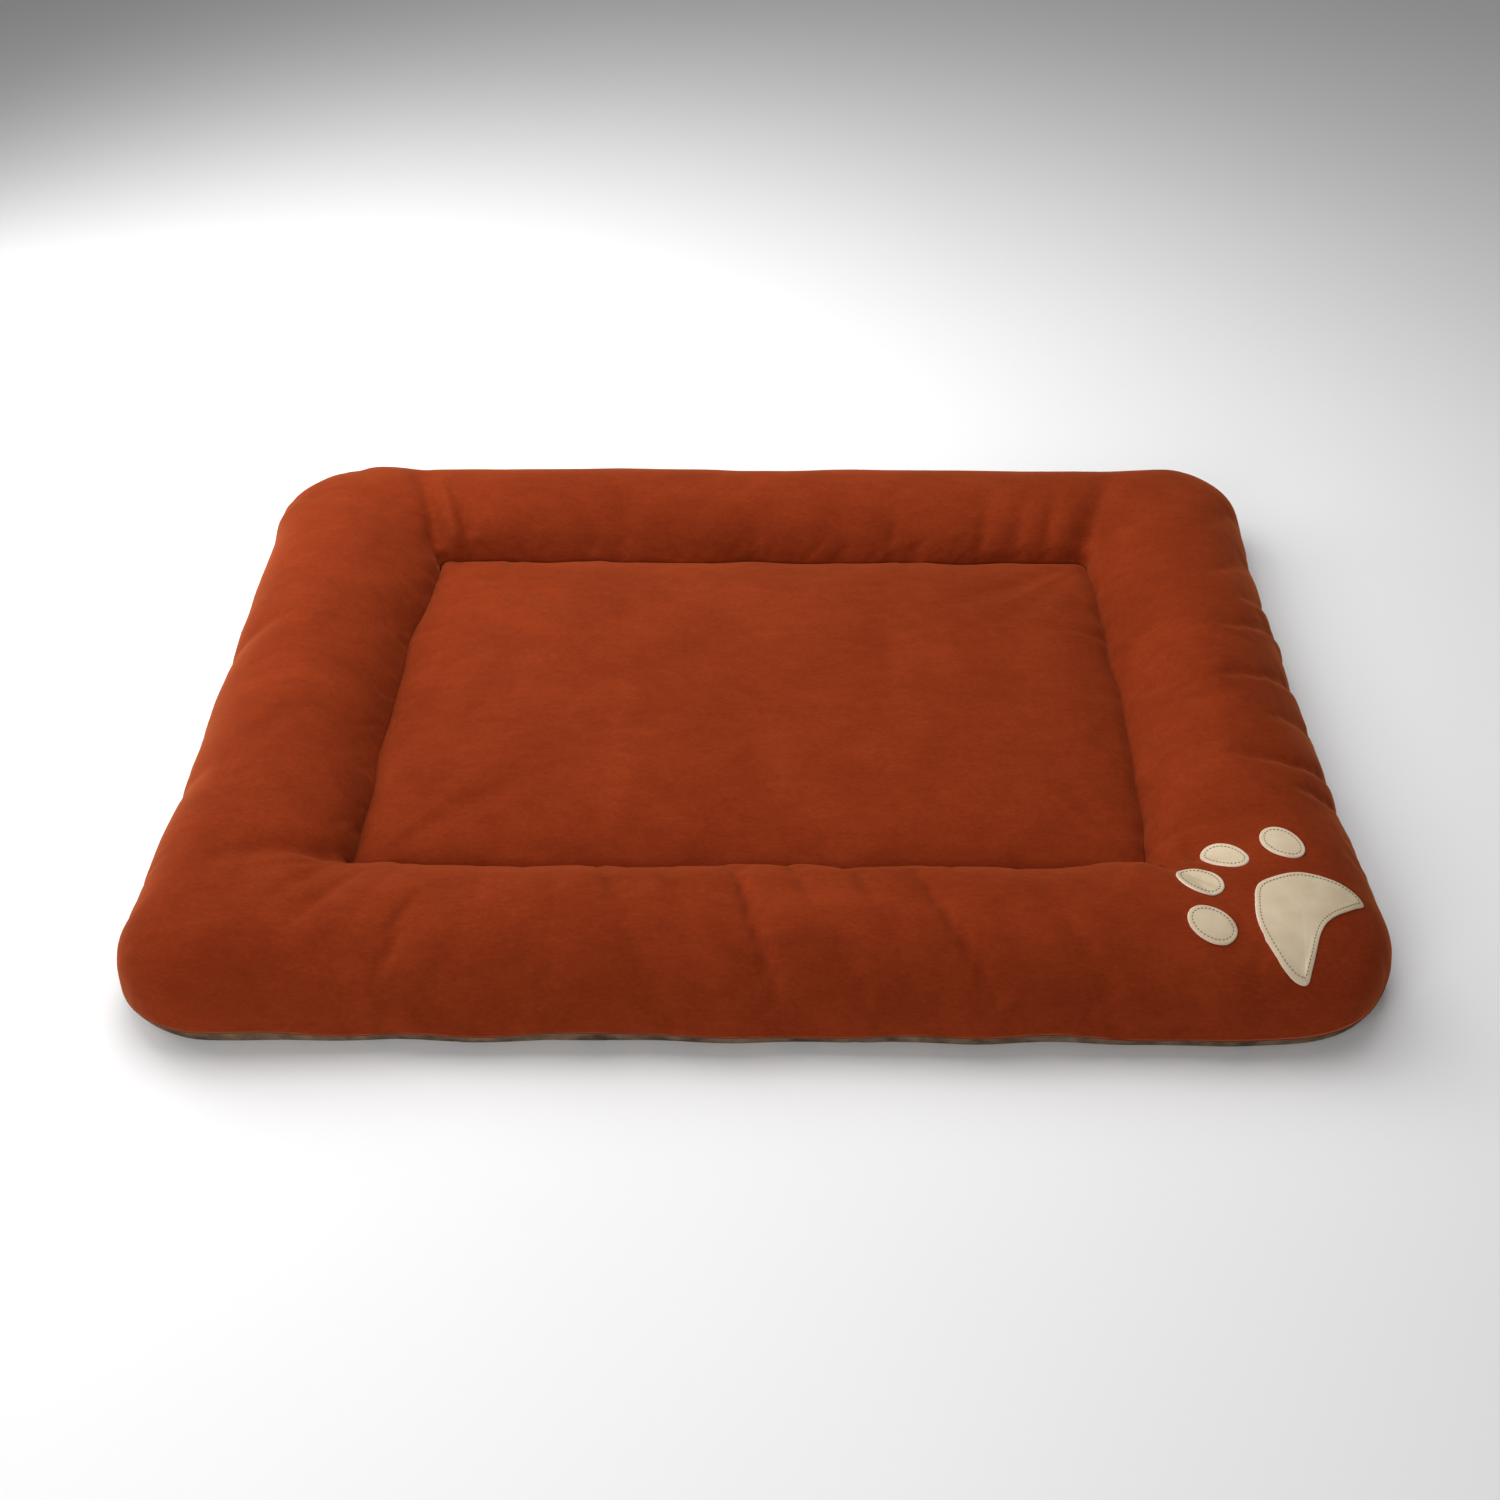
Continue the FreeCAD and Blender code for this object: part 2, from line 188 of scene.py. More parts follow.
@dataclass(frozen=True)
class WovenBase(Finish):
    """Plain-woven polyester base cloth, coated on its back so that it doesn't slip.

    Two sets of threads cross in a fine even grid, with painted shade in its gaps, painted light on its
    crowns, and no shine.
    """

    name: str = "taupe_plain_woven_polyester"
    # gap is painted shade between the threads and crown is painted light on their tops; the yarn's own random
    # tone also runs between them.
    gap: str = "#3a2a1f"
    yarn: str = "#69523e"
    crown: str = "#8d735a"
    thread_mm: float = 1.4
    slub_mm: float = 1000 / 60

    def shade(self, tree: bpy.types.NodeTree) -> bpy.types.Node:
        """Cross two sine bands into a weave, with uneven yarn; the weave paints shade into the gaps and light
        onto the crowns.

        Args:
            tree: The material's node tree.

        Returns:
            The shader.
        """
        place = add_node(tree, "ShaderNodeTexCoord").outputs["Object"]
        # Along X a wave node turns by twenty radians a metre for each unit of its scale, so this
        # gives one band to a thread.
        wave = {"Scale": 1 / (self.thread_mm * MM) / 20 * math.tau, "Distortion": 0.6, "Detail": 1.0}
        across, along = (
            add_node(tree, "ShaderNodeTexWave", wave, {"Vector": place}, bands_direction=way).outputs["Fac"]
            for way in ("DIAGONAL", "X")
        )
        weave = add_node(tree, "ShaderNodeMath", links={0: across, 1: along}, operation="MULTIPLY").outputs[0]
        yarn = add_node(tree, "ShaderNodeTexNoise", {"Scale": 1 / (self.slub_mm * MM), "Detail": 3.0},
                        {"Vector": place}).outputs[0]
        tone = add_node(tree, "ShaderNodeMath", {2: 0.12}, {0: weave, 1: yarn}, operation="MULTIPLY_ADD")
        level, mix = (
            add_node(tree, "ShaderNodeMath", {1: share}, {0: source}, operation="MULTIPLY").outputs[0]
            for source, share in ((tone.outputs[0], 0.3), (yarn, 0.7))
        )
        total = add_node(tree, "ShaderNodeMath", links={0: level, 1: mix})
        # The weave's gaps pull toward the dark gap colour as painted shade, and its crowns toward the light
        # crown colour as a painted highlight; most of the spread is the yarn's own random tone.
        colour = add_node(tree, "ShaderNodeValToRGB", links={0: total.outputs[0]}, stops=(
            (0.25, self.gap), (0.45, self.yarn), (0.7, self.crown),
        )).outputs[0]
        bump = add_node(tree, "ShaderNodeBump", {"Strength": 0.5, "Distance": 0.3 * MM}, {"Height": weave})
        return add_node(tree, "ShaderNodeBsdfPrincipled", {"Roughness": 0.9, "Specular IOR Level": 0.2},
                        {"Base Color": colour, "Normal": bump.outputs[0]})


@dataclass(frozen=True)
class Leatherette(Finish):
    """Polyurethane leatherette: a thin matt film, embossed with a fine grain, on a pale backing.

    The cut edge shows the backing, so each patch has a pale pink line round it.
    """

    name: str = "cream_embossed_leatherette"
    low: str = "#cdb899"
    high: str = "#d8c6a9"
    cut_edge: str = "#e9d2c4"
    cloud_mm: float = 1000 / 45
    grain_mm: float = 1.1

    def shade(self, tree: bpy.types.NodeTree) -> bpy.types.Node:
        """Cloud the colour a little, paint the cut edge from the edge attribute, bump the grain.

        Args:
            tree: The material's node tree.

        Returns:
            The shader.
        """
        place = add_node(tree, "ShaderNodeTexCoord").outputs["Object"]
        cloud = add_node(tree, "ShaderNodeTexNoise", {"Scale": 1 / (self.cloud_mm * MM), "Detail": 4.0},
                         {"Vector": place})
        film = add_node(tree, "ShaderNodeValToRGB", links={0: cloud.outputs[0]}, stops=(
            (0.35, self.low), (0.65, self.high),
        )).outputs[0]
        rim = add_node(tree, "ShaderNodeAttribute", attribute_name="cut_edge").outputs["Fac"]
        # Inputs 0, 6 and 7 of a colour mix are its factor and its two colours, and output 2 its colour.
        colour = add_node(tree, "ShaderNodeMix", {7: linear(self.cut_edge)}, {0: rim, 6: film},
                          data_type="RGBA").outputs[2]
        grain = add_node(tree, "ShaderNodeTexVoronoi", {"Scale": 1 / (self.grain_mm * MM)}, {"Vector": place})
        bump = add_node(tree, "ShaderNodeBump", {"Strength": 0.35, "Distance": 0.12 * MM},
                        {"Height": grain.outputs["Distance"]})
        return add_node(tree, "ShaderNodeBsdfPrincipled", {"Roughness": 0.55, "Specular IOR Level": 0.4},
                        {"Base Color": colour, "Normal": bump.outputs[0]})


@dataclass(frozen=True)
class SewingThread(Finish):
    """Twisted polyester sewing thread, which has a slight gloss."""

    name: str = "olive_grey_polyester_thread"
    dark: str = "#5d543d"
    light: str = "#857a5e"
    twist_mm: float = 0.5

    def shade(self, tree: bpy.types.NodeTree) -> bpy.types.Node:
        """Vary the colour along the twist.

        Args:
            tree: The material's node tree.

        Returns:
            The shader.
        """
        place = add_node(tree, "ShaderNodeTexCoord").outputs["Object"]
        twist = add_node(tree, "ShaderNodeTexNoise", {"Scale": 1 / (self.twist_mm * MM)}, {"Vector": place})
        colour = add_node(tree, "ShaderNodeValToRGB", links={0: twist.outputs[0]}, stops=(
            (0.35, self.dark), (0.65, self.light),
        )).outputs[0]
        return add_node(tree, "ShaderNodeBsdfPrincipled", {"Roughness": 0.6}, {"Base Color": colour})


@dataclass(frozen=True)
class DyedThread(SewingThread):
    """The same thread dyed to match the velvet, for the bed's two long seams."""

    name: str = "rust_polyester_thread"
    dark: str = "#5c1f0e"
    light: str = "#8a3418"


@dataclass(frozen=True)
class StudioPaper(Finish):
    """Matt white background paper."""

    name: str = "white_background_paper"
    tone: str = "#f6f6f6"
    bright: str = "#fafafa"
    mottle_mm: float = 1000 / 3

    def shade(self, tree: bpy.types.NodeTree) -> bpy.types.Node:
        """One even pale tone with a faint mottle.

        Args:
            tree: The material's node tree.

        Returns:
            The shader.
        """
        place = add_node(tree, "ShaderNodeTexCoord").outputs["Object"]
        mottle = add_node(tree, "ShaderNodeTexNoise", {"Scale": 1 / (self.mottle_mm * MM)}, {"Vector": place})
        colour = add_node(tree, "ShaderNodeValToRGB", links={0: mottle.outputs[0]}, stops=(
            (0.0, self.tone), (1.0, self.bright),
        )).outputs[0]
        return add_node(tree, "ShaderNodeBsdfPrincipled", {"Roughness": 0.95}, {"Base Color": colour})


# ---------------------------------------------------------------- grids

@dataclass(frozen=True)
class Columns:
    """How many columns a loop has on each long side, each short side and each corner."""

    long_side: int
    short_side: int
    corner: int


def rounded_loop(half_x: float, half_y: float, radii: Sequence[float], columns: Columns) -> np.ndarray:
    """Points round a rounded rectangle, anticlockwise from the front left corner.

    Each side is cut evenly, and so is each quarter circle.

    Args:
        half_x: Half length.
        half_y: Half width.
        radii: Corner radii: front right, back right, back left, front left.
        columns: Points per side and corner.

    Returns:
        An array of points by two.
    """
    signs = np.array(((1, -1), (1, 1), (-1, 1), (-1, -1)))
    centres = signs * (np.array((half_x, half_y)) - np.array(radii)[:, None])
    parts = []
    for side in range(4):
        count = columns.long_side if side % 2 == 0 else columns.short_side
        turn = np.pi / 2 * (side - 1)
        outward = np.array((math.cos(turn), math.sin(turn)))
        first = centres[side - 1] + radii[side - 1] * outward
        last = centres[side] + radii[side] * outward
        share = np.arange(count)[:, None] / count
        parts.append(first + (last - first) * share)
        angle = turn + np.pi / 2 * np.arange(columns.corner) / columns.corner
        parts.append(centres[side] + radii[side] * np.stack((np.cos(angle), np.sin(angle)), axis=1))
    return np.concatenate(parts)


def grid_faces(columns: int, rows: int, closed: bool, outwards: bool = True) -> np.ndarray:
    """Quads of a grid whose vertices are numbered row by row within each column.

    Args:
        columns: Number of columns.
        rows: Number of rows.
        closed: Whether the last column joins the first.
        outwards: Turns every face round when false.

    Returns:
        An array of faces by four vertex numbers.
    """
    index = np.arange(columns * rows).reshape(columns, rows)
    if closed:
        index = np.concatenate((index, index[:1]))
    here, ahead = index[:-1], index[1:]
    quads = np.stack((here[:, :-1], here[:, 1:], ahead[:, 1:], ahead[:, :-1]), axis=-1).reshape(-1, 4)
    return quads if outwards else quads[:, ::-1]


def halve(grid: np.ndarray, axis: int, closed: bool) -> np.ndarray:
    """Put a new point halfway between each two along one axis, on a smooth curve through them.

    The new point is nine sixteenths of each neighbour less one sixteenth of each next one.

    Args:
        grid: Points, with their coordinates on the last axis.
        axis: 0 for columns, 1 for rows.
        closed: Whether that axis runs round.

    Returns:
        The finer grid.
    """
    points = np.moveaxis(grid, axis, 0)
    if closed:
        before, after, beyond = np.roll(points, 1, 0), np.roll(points, -1, 0), np.roll(points, -2, 0)
        between = (9 * (points + after) - before - beyond) / 16
        fine = np.stack((points, between), axis=1).reshape(-1, *points.shape[1:])
        return np.moveaxis(fine, 0, axis)
    padded = np.concatenate((2 * points[:1] - points[1:2], points, 2 * points[-1:] - points[-2:-1]))
    between = (9 * (padded[1:-2] + padded[2:-1]) - padded[:-3] - padded[3:]) / 16
    fine = np.empty((2 * len(points) - 1, *points.shape[1:]))
    fine[0::2] = points
    fine[1::2] = between
    return np.moveaxis(fine, 0, axis)


def grid_normals(grid: np.ndarray, closed: bool) -> np.ndarray:
    """Unit normals of a grid: the cross product of its two directions, by central differences.

    They point up out of the pad's grid, and into the bolster from the grids that ring it.

    Args:
        grid: Columns by rows by three.
        closed: Whether the columns run round.

    Returns:
        Normals in the grid's own shape.
    """
    if closed:
        along = np.roll(grid, -1, 0) - np.roll(grid, 1, 0)
    else:
        along = np.gradient(grid, axis=0)
    across = np.gradient(grid, axis=1)
    normal = np.cross(along, across)
    return normal / np.maximum(np.linalg.norm(normal, axis=-1, keepdims=True), 1e-12)


def soften(grid: np.ndarray, closed: bool, passes: int) -> np.ndarray:
    """Even a grid out: each pass moves every point halfway to the mean of its four neighbours.

    Args:
        grid: Columns by rows by any number of values.
        closed: Whether the columns run round.
        passes: How many times.

    Returns:
        The evened grid. Its first and last rows stay.
    """
    for _ in range(passes):
        if closed:
            sideways = (np.roll(grid, 1, 0) + np.roll(grid, -1, 0)) / 2
        else:
            sideways = grid.copy()
            sideways[1:-1] = (grid[2:] + grid[:-2]) / 2
        mean = grid.copy()
        mean[:, 1:-1] = (sideways[:, 1:-1] + (grid[:, 2:] + grid[:, :-2]) / 2) / 2
        grid = (grid + mean) / 2
    return grid


def make_piece(name: str, vertices: np.ndarray, faces: list[list[int]], finish: Finish,
               slot: str | None, attributes: dict[str, np.ndarray] | None = None) -> bpy.types.Object:
    """Make a smooth-shaded mesh object that rides on the bed.

    Args:
        name: The object's name.
        vertices: Points by three.
        faces: Vertex numbers of each face.
        finish: What it is made of.
        slot: The record's material slot.
        attributes: Per-vertex numbers, by name.

    Returns:
        The new object.
    """
    mesh = bpy.data.meshes.new(name)
    mesh.from_pydata(vertices.reshape(-1, 3).tolist(), [], faces)
    mesh.update()
    mesh.shade_smooth()
    for key, values in (attributes or {}).items():
        layer = mesh.attributes.new(key, "FLOAT", "POINT")
        layer.data.foreach_set("value", np.asarray(values, dtype=np.float32).ravel())
    mesh.materials.append(finish.material())
    made = bpy.data.objects.new(name, mesh)
    bpy.context.scene.collection.objects.link(made)
    if slot is not None:
        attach(made, "root")
    return made


# ---------------------------------------------------------------- folds

@dataclass(frozen=True)
class Fold:
    """One fold in the cloth, in millimetres: a curved line in plan that dies out at its far end.

    Attributes:
        start: Where it is deepest.
        bend: The point that it curves towards.
        end: Where it has died out.
        depth: How far the cloth goes in along the line.
        width: How far from the line the dip reaches.
        lip: How far the cloth rolls over on the line's left side.
        power: 1.3 for a sharp crease, 2 for a round dip.
    """

    start: tuple[float, float]
    bend: tuple[float, float]
    end: tuple[float, float]
    depth: float
    width: float
    lip: float = 0.0
    power: float = 1.3

    def push(self, points: np.ndarray) -> np.ndarray:
        """How far each point moves along its normal.

        The line is a quadratic curve. A point's nearest place on it gives a share along it and a
        signed distance. The dip is a pointed bell of that distance, and the lip a one-sided hump.

        Args:
            points: Points in plan, in metres, with the coordinates on the last axis.

        Returns:
            Distances in metres, negative inwards.
        """
        share = np.linspace(0, 1, 25)[:, None]
        start, bend, end = (np.array(point) * MM for point in (self.start, self.bend, self.end))
        line = start * (1 - share) ** 2 + 2 * bend * share * (1 - share) + end * share**2
        low = line.min(0) - 4 * self.width * MM
        high = line.max(0) + 4 * self.width * MM
        flat = points.reshape(-1, points.shape[-1])[:, :2]
        near = np.flatnonzero(((flat > low) & (flat < high)).all(1))
        moved = np.zeros(len(flat))
        if len(near):
            chosen = flat[near]
            step = np.diff(line, axis=0)
            offset = chosen[:, None, :] - line[None, :-1, :]
            along = (offset * step).sum(-1) / (step**2).sum(-1)
            clipped = np.clip(along, 0, 1)
            gap = offset - clipped[..., None] * step
            distance = np.linalg.norm(gap, axis=-1)
            best = distance.argmin(1)
            rows = np.arange(len(chosen))
            near_step = step[best]
            near_gap = gap[rows, best]
            side = np.sign(near_step[:, 0] * near_gap[:, 1] - near_step[:, 1] * near_gap[:, 0])
            place = (best + clipped[rows, best]) / len(step)
            reach = distance[rows, best] / (self.width * MM)
            fade = np.clip(1 - place, 0, 1) ** 0.7 * np.clip(0.35 + 5 * place, 0, 1)
            dip = -self.depth * np.exp(-reach**self.power)
            hump = self.lip * np.where(side > 0, 2.2 * reach * np.exp(-reach**2 / 1.2), 0)
            moved[near] = (dip + hump) * fade * MM
        return moved.reshape(points.shape[:-1])


# Folds at the inner corners, where the bolster turns and has cloth to spare.
CORNER_FOLDS = (
    Fold((-302, 192), (-308, 240), (-328, 312), 10.5, 9),
    Fold((-287, 194), (-293, 240), (-312, 306), -4.5, 9),
    Fold((-274, 204), (-282, 226), (-296, 264), 3, 8, 1),
    Fold((300, 198), (308, 236), (332, 286), 6.5, 11, -1),
    Fold((262, 204), (268, 230), (276, 266), 2.5, 8),
    Fold((236, 204), (240, 226), (244, 256), 2.0, 8),
    Fold((-300, -200), (-338, -202), (-392, -224), 6.5, 10),
    Fold((-306, -214), (-338, -221), (-376, -246), 2.2, 9),
    Fold((-280, -220), (-305, -262), (-336, -304), 3.5, 13),
    Fold((-255, -222), (-270, -260), (-290, -304), 2.5, 13),
    Fold((298, -201), (304, -210), (322, -222), 4.5, 10),
    Fold((302, -178), (345, -166), (406, -180), 3, 12),
)

# Creases over the right bolster's outer side, and soft ones down the front and on the others.
SLACK_FOLDS = (
    Fold((449, -96), (428, -118), (360, -106), 4.2, 9, 1.5),
    Fold((450, -132), (434, -146), (396, -138), 2.2, 7, 1),
    Fold((450, -34), (432, -56), (388, -60), 1.8, 10, 0.5),
    Fold((449, 18), (432, -6), (366, -14), 3.8, 10, 1.5),
    Fold((449, 92), (436, 66), (380, 50), 3.6, 9, 1.5),
    Fold((450, 130), (440, 108), (404, 96), 2.2, 7, 1),
    Fold((448, 192), (430, 148), (380, 120), 3.4, 11, 1),
    Fold((444, 254), (425, 215), (382, 192), 2.4, 12),
    Fold((-235, -248), (-244, -290), (-262, -326), 1.9, 12),
    Fold((-190, -236), (-203, -290), (-222, -330), 2.7, 16),
    Fold((-142, -236), (-136, -280), (-146, -326), 1.6, 11),
    Fold((-104, -232), (-92, -285), (-64, -332), 2.9, 14),
    Fold((-60, -238), (-50, -280), (-34, -328), 2.1, 11),
    Fold((-12, -232), (-2, -280), (14, -330), 2.7, 12),
    Fold((30, -236), (48, -285), (80, -330), 2.7, 14),
    Fold((74, -234), (88, -280), (112, -328), 1.7, 11),
    Fold((116, -232), (136, -285), (165, -332), 3.2, 16),
    Fold((205, -240), (222, -290), (240, -330), 2.1, 15),
    Fold((200, 192), (208, 220), (212, 256), 1.6, 9),
    Fold((120, 194), (126, 220), (124, 252), 1.2, 10),
    Fold((-456, 44), (-424, 60), (-384, 64), 2.0, 12),
    Fold((-456, -118), (-426, -110), (-392, -120), 1.6, 12),
    Fold((-386, 330), (-382, 292), (-362, 262), 2.0, 10),
    Fold((-440, 270), (-420, 248), (-384, 236), 1.8, 9),
)

# A broad dip and a broad swell of the fibre itself, under the paw.
FIBRE_FOLDS = (
    Fold((318, -204), (345, -202), (400, -196), 8.0, 22, power=2),
    Fold((272, -222), (304, -244), (336, -290), -8, 27, power=2),
)


def fold_push(points: np.ndarray, folds: Iterable[Fold]) -> np.ndarray:
    """The sum of several folds' pushes."""
    return sum(fold.push(points) for fold in folds)


@dataclass(frozen=True)
class Gather:
    """Small puckers where cloth is gathered into a seam, in metres.

    Attributes:
        seed: For the jitter.
        spacing: Mean distance between puckers.
        depth: Their mean depth.
        length: How far up the cloth they reach.
    """

    seed: int
    spacing: float
    depth: float
    length: float

    def push(self, run: np.ndarray, reach: np.ndarray, total: float) -> np.ndarray:
        """How far each point moves along its normal.

        Pucker places are even along the seam with a seeded jitter. Each is a bell along the seam,
        with a softer bulge either side, that dies out away from it.

        Args:
            run: Each point's distance along the seam.
            reach: Each point's distance from the seam, up the cloth.
            total: The seam's length.

        Returns:
            Distances in metres, negative inwards.
        """
        rng = np.random.default_rng(self.seed)
        count = int(total / self.spacing)
        places = (np.arange(count) + rng.uniform(-0.42, 0.42, count)) * total / count
        depths = self.depth * rng.uniform(0.15, 1.9, count)
        widths = self.spacing * rng.uniform(0.10, 0.24, count)
        lengths = self.length * rng.uniform(0.6, 1.7, count)
        pushed = np.zeros(np.broadcast(run, reach).shape)
        for place, deep, wide, long in zip(places, depths, widths, lengths):
            away = (run - place + total / 2) % total - total / 2
            bell = np.exp(-(away / wide) ** 2) - 0.45 * np.exp(-(away / (2.4 * wide)) ** 2)
            pushed -= deep * bell * np.exp(-(reach / long) ** 2)
        return pushed


# Puckers of the bolster along the edge seam, large and small, and along the middle seam.
EDGE_GATHERS = (Gather(11, 0.052, 1.1 * MM, 0.026), Gather(12, 0.021, 0.35 * MM, 0.012))
VALLEY_GATHER = Gather(13, 0.047, 0.9 * MM, 0.022)

# Puckers of the pad along the middle seam, side by side.
PAD_GATHERS = {
    side: Gather(seed, 0.062, 1.2 * MM, 0.030)
    for side, seed in (("back", 21), ("front", 22), ("right", 31), ("left", 32))
}

# Puckers of the base cloth along the edge seam.
BASE_GATHER = Gather(41, 0.040, 0.8 * MM, 0.010)


# ---------------------------------------------------------------- cloth

@dataclass(frozen=True)
class ClothPress:
    """Cloth simulation that puffs a pinned sheet from inside, with no gravity.

    Attributes:
        pressure: Push on the inside of the cloth.
        frames: How many frames it runs.
        bending: Bending stiffness, low for a thin velvet.
        spare: Share of extra cloth in every direction.
        cap: The furthest that a point may move, in metres.
    """

    pressure: float = 2.2
    frames: int = 24
    bending: float = 0.25
    spare: float = 0.006
    cap: float = 0.018

    def run(self, start: np.ndarray, flat: np.ndarray, faces: np.ndarray,
            pinned: np.ndarray) -> np.ndarray:
        """Puff a sheet and give back where its points came to rest.

        Args:
            start: Points of the shape that it starts from.
            flat: The same points in the flat cut cloth, which set the cloth's real lengths.
            faces: Its quads, outwards.
            pinned: Numbers of the points that the seams hold.

        Returns:
            The puffed points, in start's shape.
        """
        mesh = bpy.data.meshes.new("pressed_cloth")
        mesh.from_pydata(start.reshape(-1, 3).tolist(), [], faces.tolist())
        sheet = bpy.data.objects.new("pressed_cloth", mesh)
        bpy.context.scene.collection.objects.link(sheet)
        sheet.shape_key_add(name="Basis")
        cut = sheet.shape_key_add(name="flat cut", from_mix=False)
        cut.data.foreach_set("co", flat.ravel())
        seams = sheet.vertex_groups.new(name="seams")
        seams.add(pinned.tolist(), 1.0, "REPLACE")
        cloth = sheet.modifiers.new("cloth", "CLOTH")
        wear = cloth.settings
        wear.quality = 5
        wear.mass = 0.1
        wear.tension_stiffness = 20
        wear.compression_stiffness = 20
        wear.shear_stiffness = 5
        wear.bending_stiffness = self.bending
        wear.tension_damping = 10
        wear.compression_damping = 10
        wear.air_damping = 3
        wear.shrink_min = -self.spare
        wear.use_pressure = True
        wear.uniform_pressure_force = self.pressure
        wear.effector_weights.gravity = 0
        wear.vertex_group_mass = "seams"
        wear.rest_shape_key = cut
        cloth.collision_settings.use_collision = False
        cloth.collision_settings.use_self_collision = False
        cloth.point_cache.frame_end = self.frames
        scene = bpy.context.scene
        for step in range(1, self.frames + 1):
            scene.frame_set(step)
        shown = sheet.evaluated_get(bpy.context.evaluated_depsgraph_get())
        settled = np.empty(start.size)
        shown.to_mesh().vertices.foreach_get("co", settled)
        shown.to_mesh_clear()
        scene.frame_set(1)
        bpy.data.objects.remove(sheet)
        bpy.data.meshes.remove(mesh)
        move = settled.reshape(start.shape) - start
        length = np.linalg.norm(move, axis=-1, keepdims=True)
        LOG.info("cloth moved %.1f mm on average, %.1f at most", length.mean() / MM, length.max() / MM)
        return start + move * np.minimum(1, self.cap / np.maximum(length, 1e-9))


# ---------------------------------------------------------------- the bed's covers

@dataclass
class BedShape:
    """The bed's driving sizes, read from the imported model.

    Attributes:
        seam_half: Half length and width of the middle seam's rectangle.
        bed_half: Half length and width of the bed.
        bolster_height: Top of the bolster.
        pad_height: Top of the pad.
        rim_height: Height of the edge seam.
        seam_radius: Corner radius of the middle seam.
        bed_radii: The bed's corner radii: front right, back right, back left, front left.
        corner_spread: How much wider than on the sides the bolster is where a corner is full.
        valley_height: Height of the velvet at the middle seam.
        groove_height: Height of the base cloth at the middle seam.
        columns: Columns of the cloth round the bed.
        waver: How far the seams waver in plan.
        waver_reach: How far from a seam the waver reaches.
        waver_overrun: How far the middle seam's waver runs on past its corners.
        sway: How far the edge seam rises and falls.
        drag_reach: How far from its place a drag reaches.
        drags: Where slack cloth drags the middle seam inwards, and how far: x, y, x way, y way.
    """

    seam_half: tuple[float, float]
    bed_half: tuple[float, float]
    bolster_height: float
    pad_height: float
    rim_height: float
    seam_radius: float = 0.008
    bed_radii: tuple[float, float, float, float] = (0.086, 0.071, 0.091, 0.070)
    corner_spread: float = 0.18
    valley_height: float = 0.034
    groove_height: float = 0.026
    columns: Columns = Columns(108, 74, 18)
    waver: float = 0.0011
    waver_reach: float = 0.035
    waver_overrun: float = 0.03
    sway: float = 0.0016
    drag_reach: float = 0.085
    drags: tuple[tuple[float, float, float, float], ...] = (
        (-0.30, 0.197, 0.012, 0.0),
        (0.30, -0.197, -0.010, 0.0),
    )

    @classmethod
    def from_frame(cls) -> "BedShape":
        """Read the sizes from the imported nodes.

        Returns:
            The bed's shape.
        """
        _, seam_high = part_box("middle_seam_thread")
        cover_low, cover_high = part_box("top_cover")
        pad = next(mount for mount in frame["record"]["mounts"] if mount["name"] == "sleeping_surface")
        return cls(
            seam_half=(seam_high[0], seam_high[1]),
            bed_half=(cover_high[0], cover_high[1]),
            bolster_height=cover_high[2],
            pad_height=pad["pos_m"][2],
            rim_height=cover_low[2],
        )

    def loops(self) -> tuple[np.ndarray, np.ndarray]:
        """The middle seam's line and the edge seam's, column by column.

        Returns:
            Inner and outer loops, each of points by two.
        """
        inner = rounded_loop(*self.seam_half, (self.seam_radius,) * 4, self.columns)
        outer = rounded_loop(*self.bed_half, self.bed_radii, self.columns)
        return inner, outer

    def corner_share(self, width: np.ndarray) -> np.ndarray:
        """How far into a corner a column is, from its width, on a smooth step.

        Args:
            width: Widths of the bolster, column by column.

        Returns:
            0 on the sides to 1 well in the corner.
        """
        wider = width / (self.bed_half[0] - self.seam_half[0]) - 1
        share = np.clip(wider / self.corner_spread, 0, 1)
        return share * share * (3 - 2 * share)

    def warp(self, points: np.ndarray) -> np.ndarray:
        """Pull points in plan as the sewing does, the same for every cloth.

        Near each seam the cloth wavers across it by a sum of two sines of the place along it. The
        edge seam also rises and falls, less and less towards the floor, and near two corners of
        the middle seam the bolster's slack drags it inwards.

        Args:
            points: Any points, with their coordinates on the last axis.

        Returns:
            The pulled points.
        """
        pulled = points.copy()
        x, y = points[..., 0], points[..., 1]
        for axis, along, other in ((0, y, x), (1, x, y)):
            beyond = np.abs(other) - self.seam_half[axis]
            beside = np.abs(along) < self.seam_half[1 - axis] + self.waver_overrun
            close = np.exp(-(beyond / self.waver_reach) ** 2) * beside
            wave = np.sin(along * 47 + 2 * np.sign(other)) + 0.6 * np.sin(along * 83 + 1 + axis)
            pulled[..., axis] += self.waver * wave * close * np.sign(other)
            edge = np.exp(-((np.abs(other) - self.bed_half[axis]) / self.waver_reach) ** 2)
            ripple = np.sin(along * 39 + 4 * np.sign(other)) + 0.7 * np.sin(along * 71 + 2 + axis) - 1.2
            pulled[..., axis] += 0.8 * self.waver * ripple * edge * np.sign(other)
        beyond = np.maximum(np.abs(x) - self.bed_half[0], np.abs(y) - self.bed_half[1])
        low = np.exp(-(beyond / self.waver_reach) ** 2) * np.clip(points[..., 2] / self.rim_height, 0, 1)
        pulled[..., 2] += self.sway * low * (np.sin(23 * x - 9 * y + 1) + 0.5 * np.sin(57 * x + 31 * y))
        for place_x, place_y, drag_x, drag_y in self.drags:
            near = np.exp(-((x - place_x) ** 2 + (y - place_y) ** 2) / self.drag_reach**2)
            pulled[..., 0] += drag_x * near
            pulled[..., 1] += drag_y * near
        return pulled


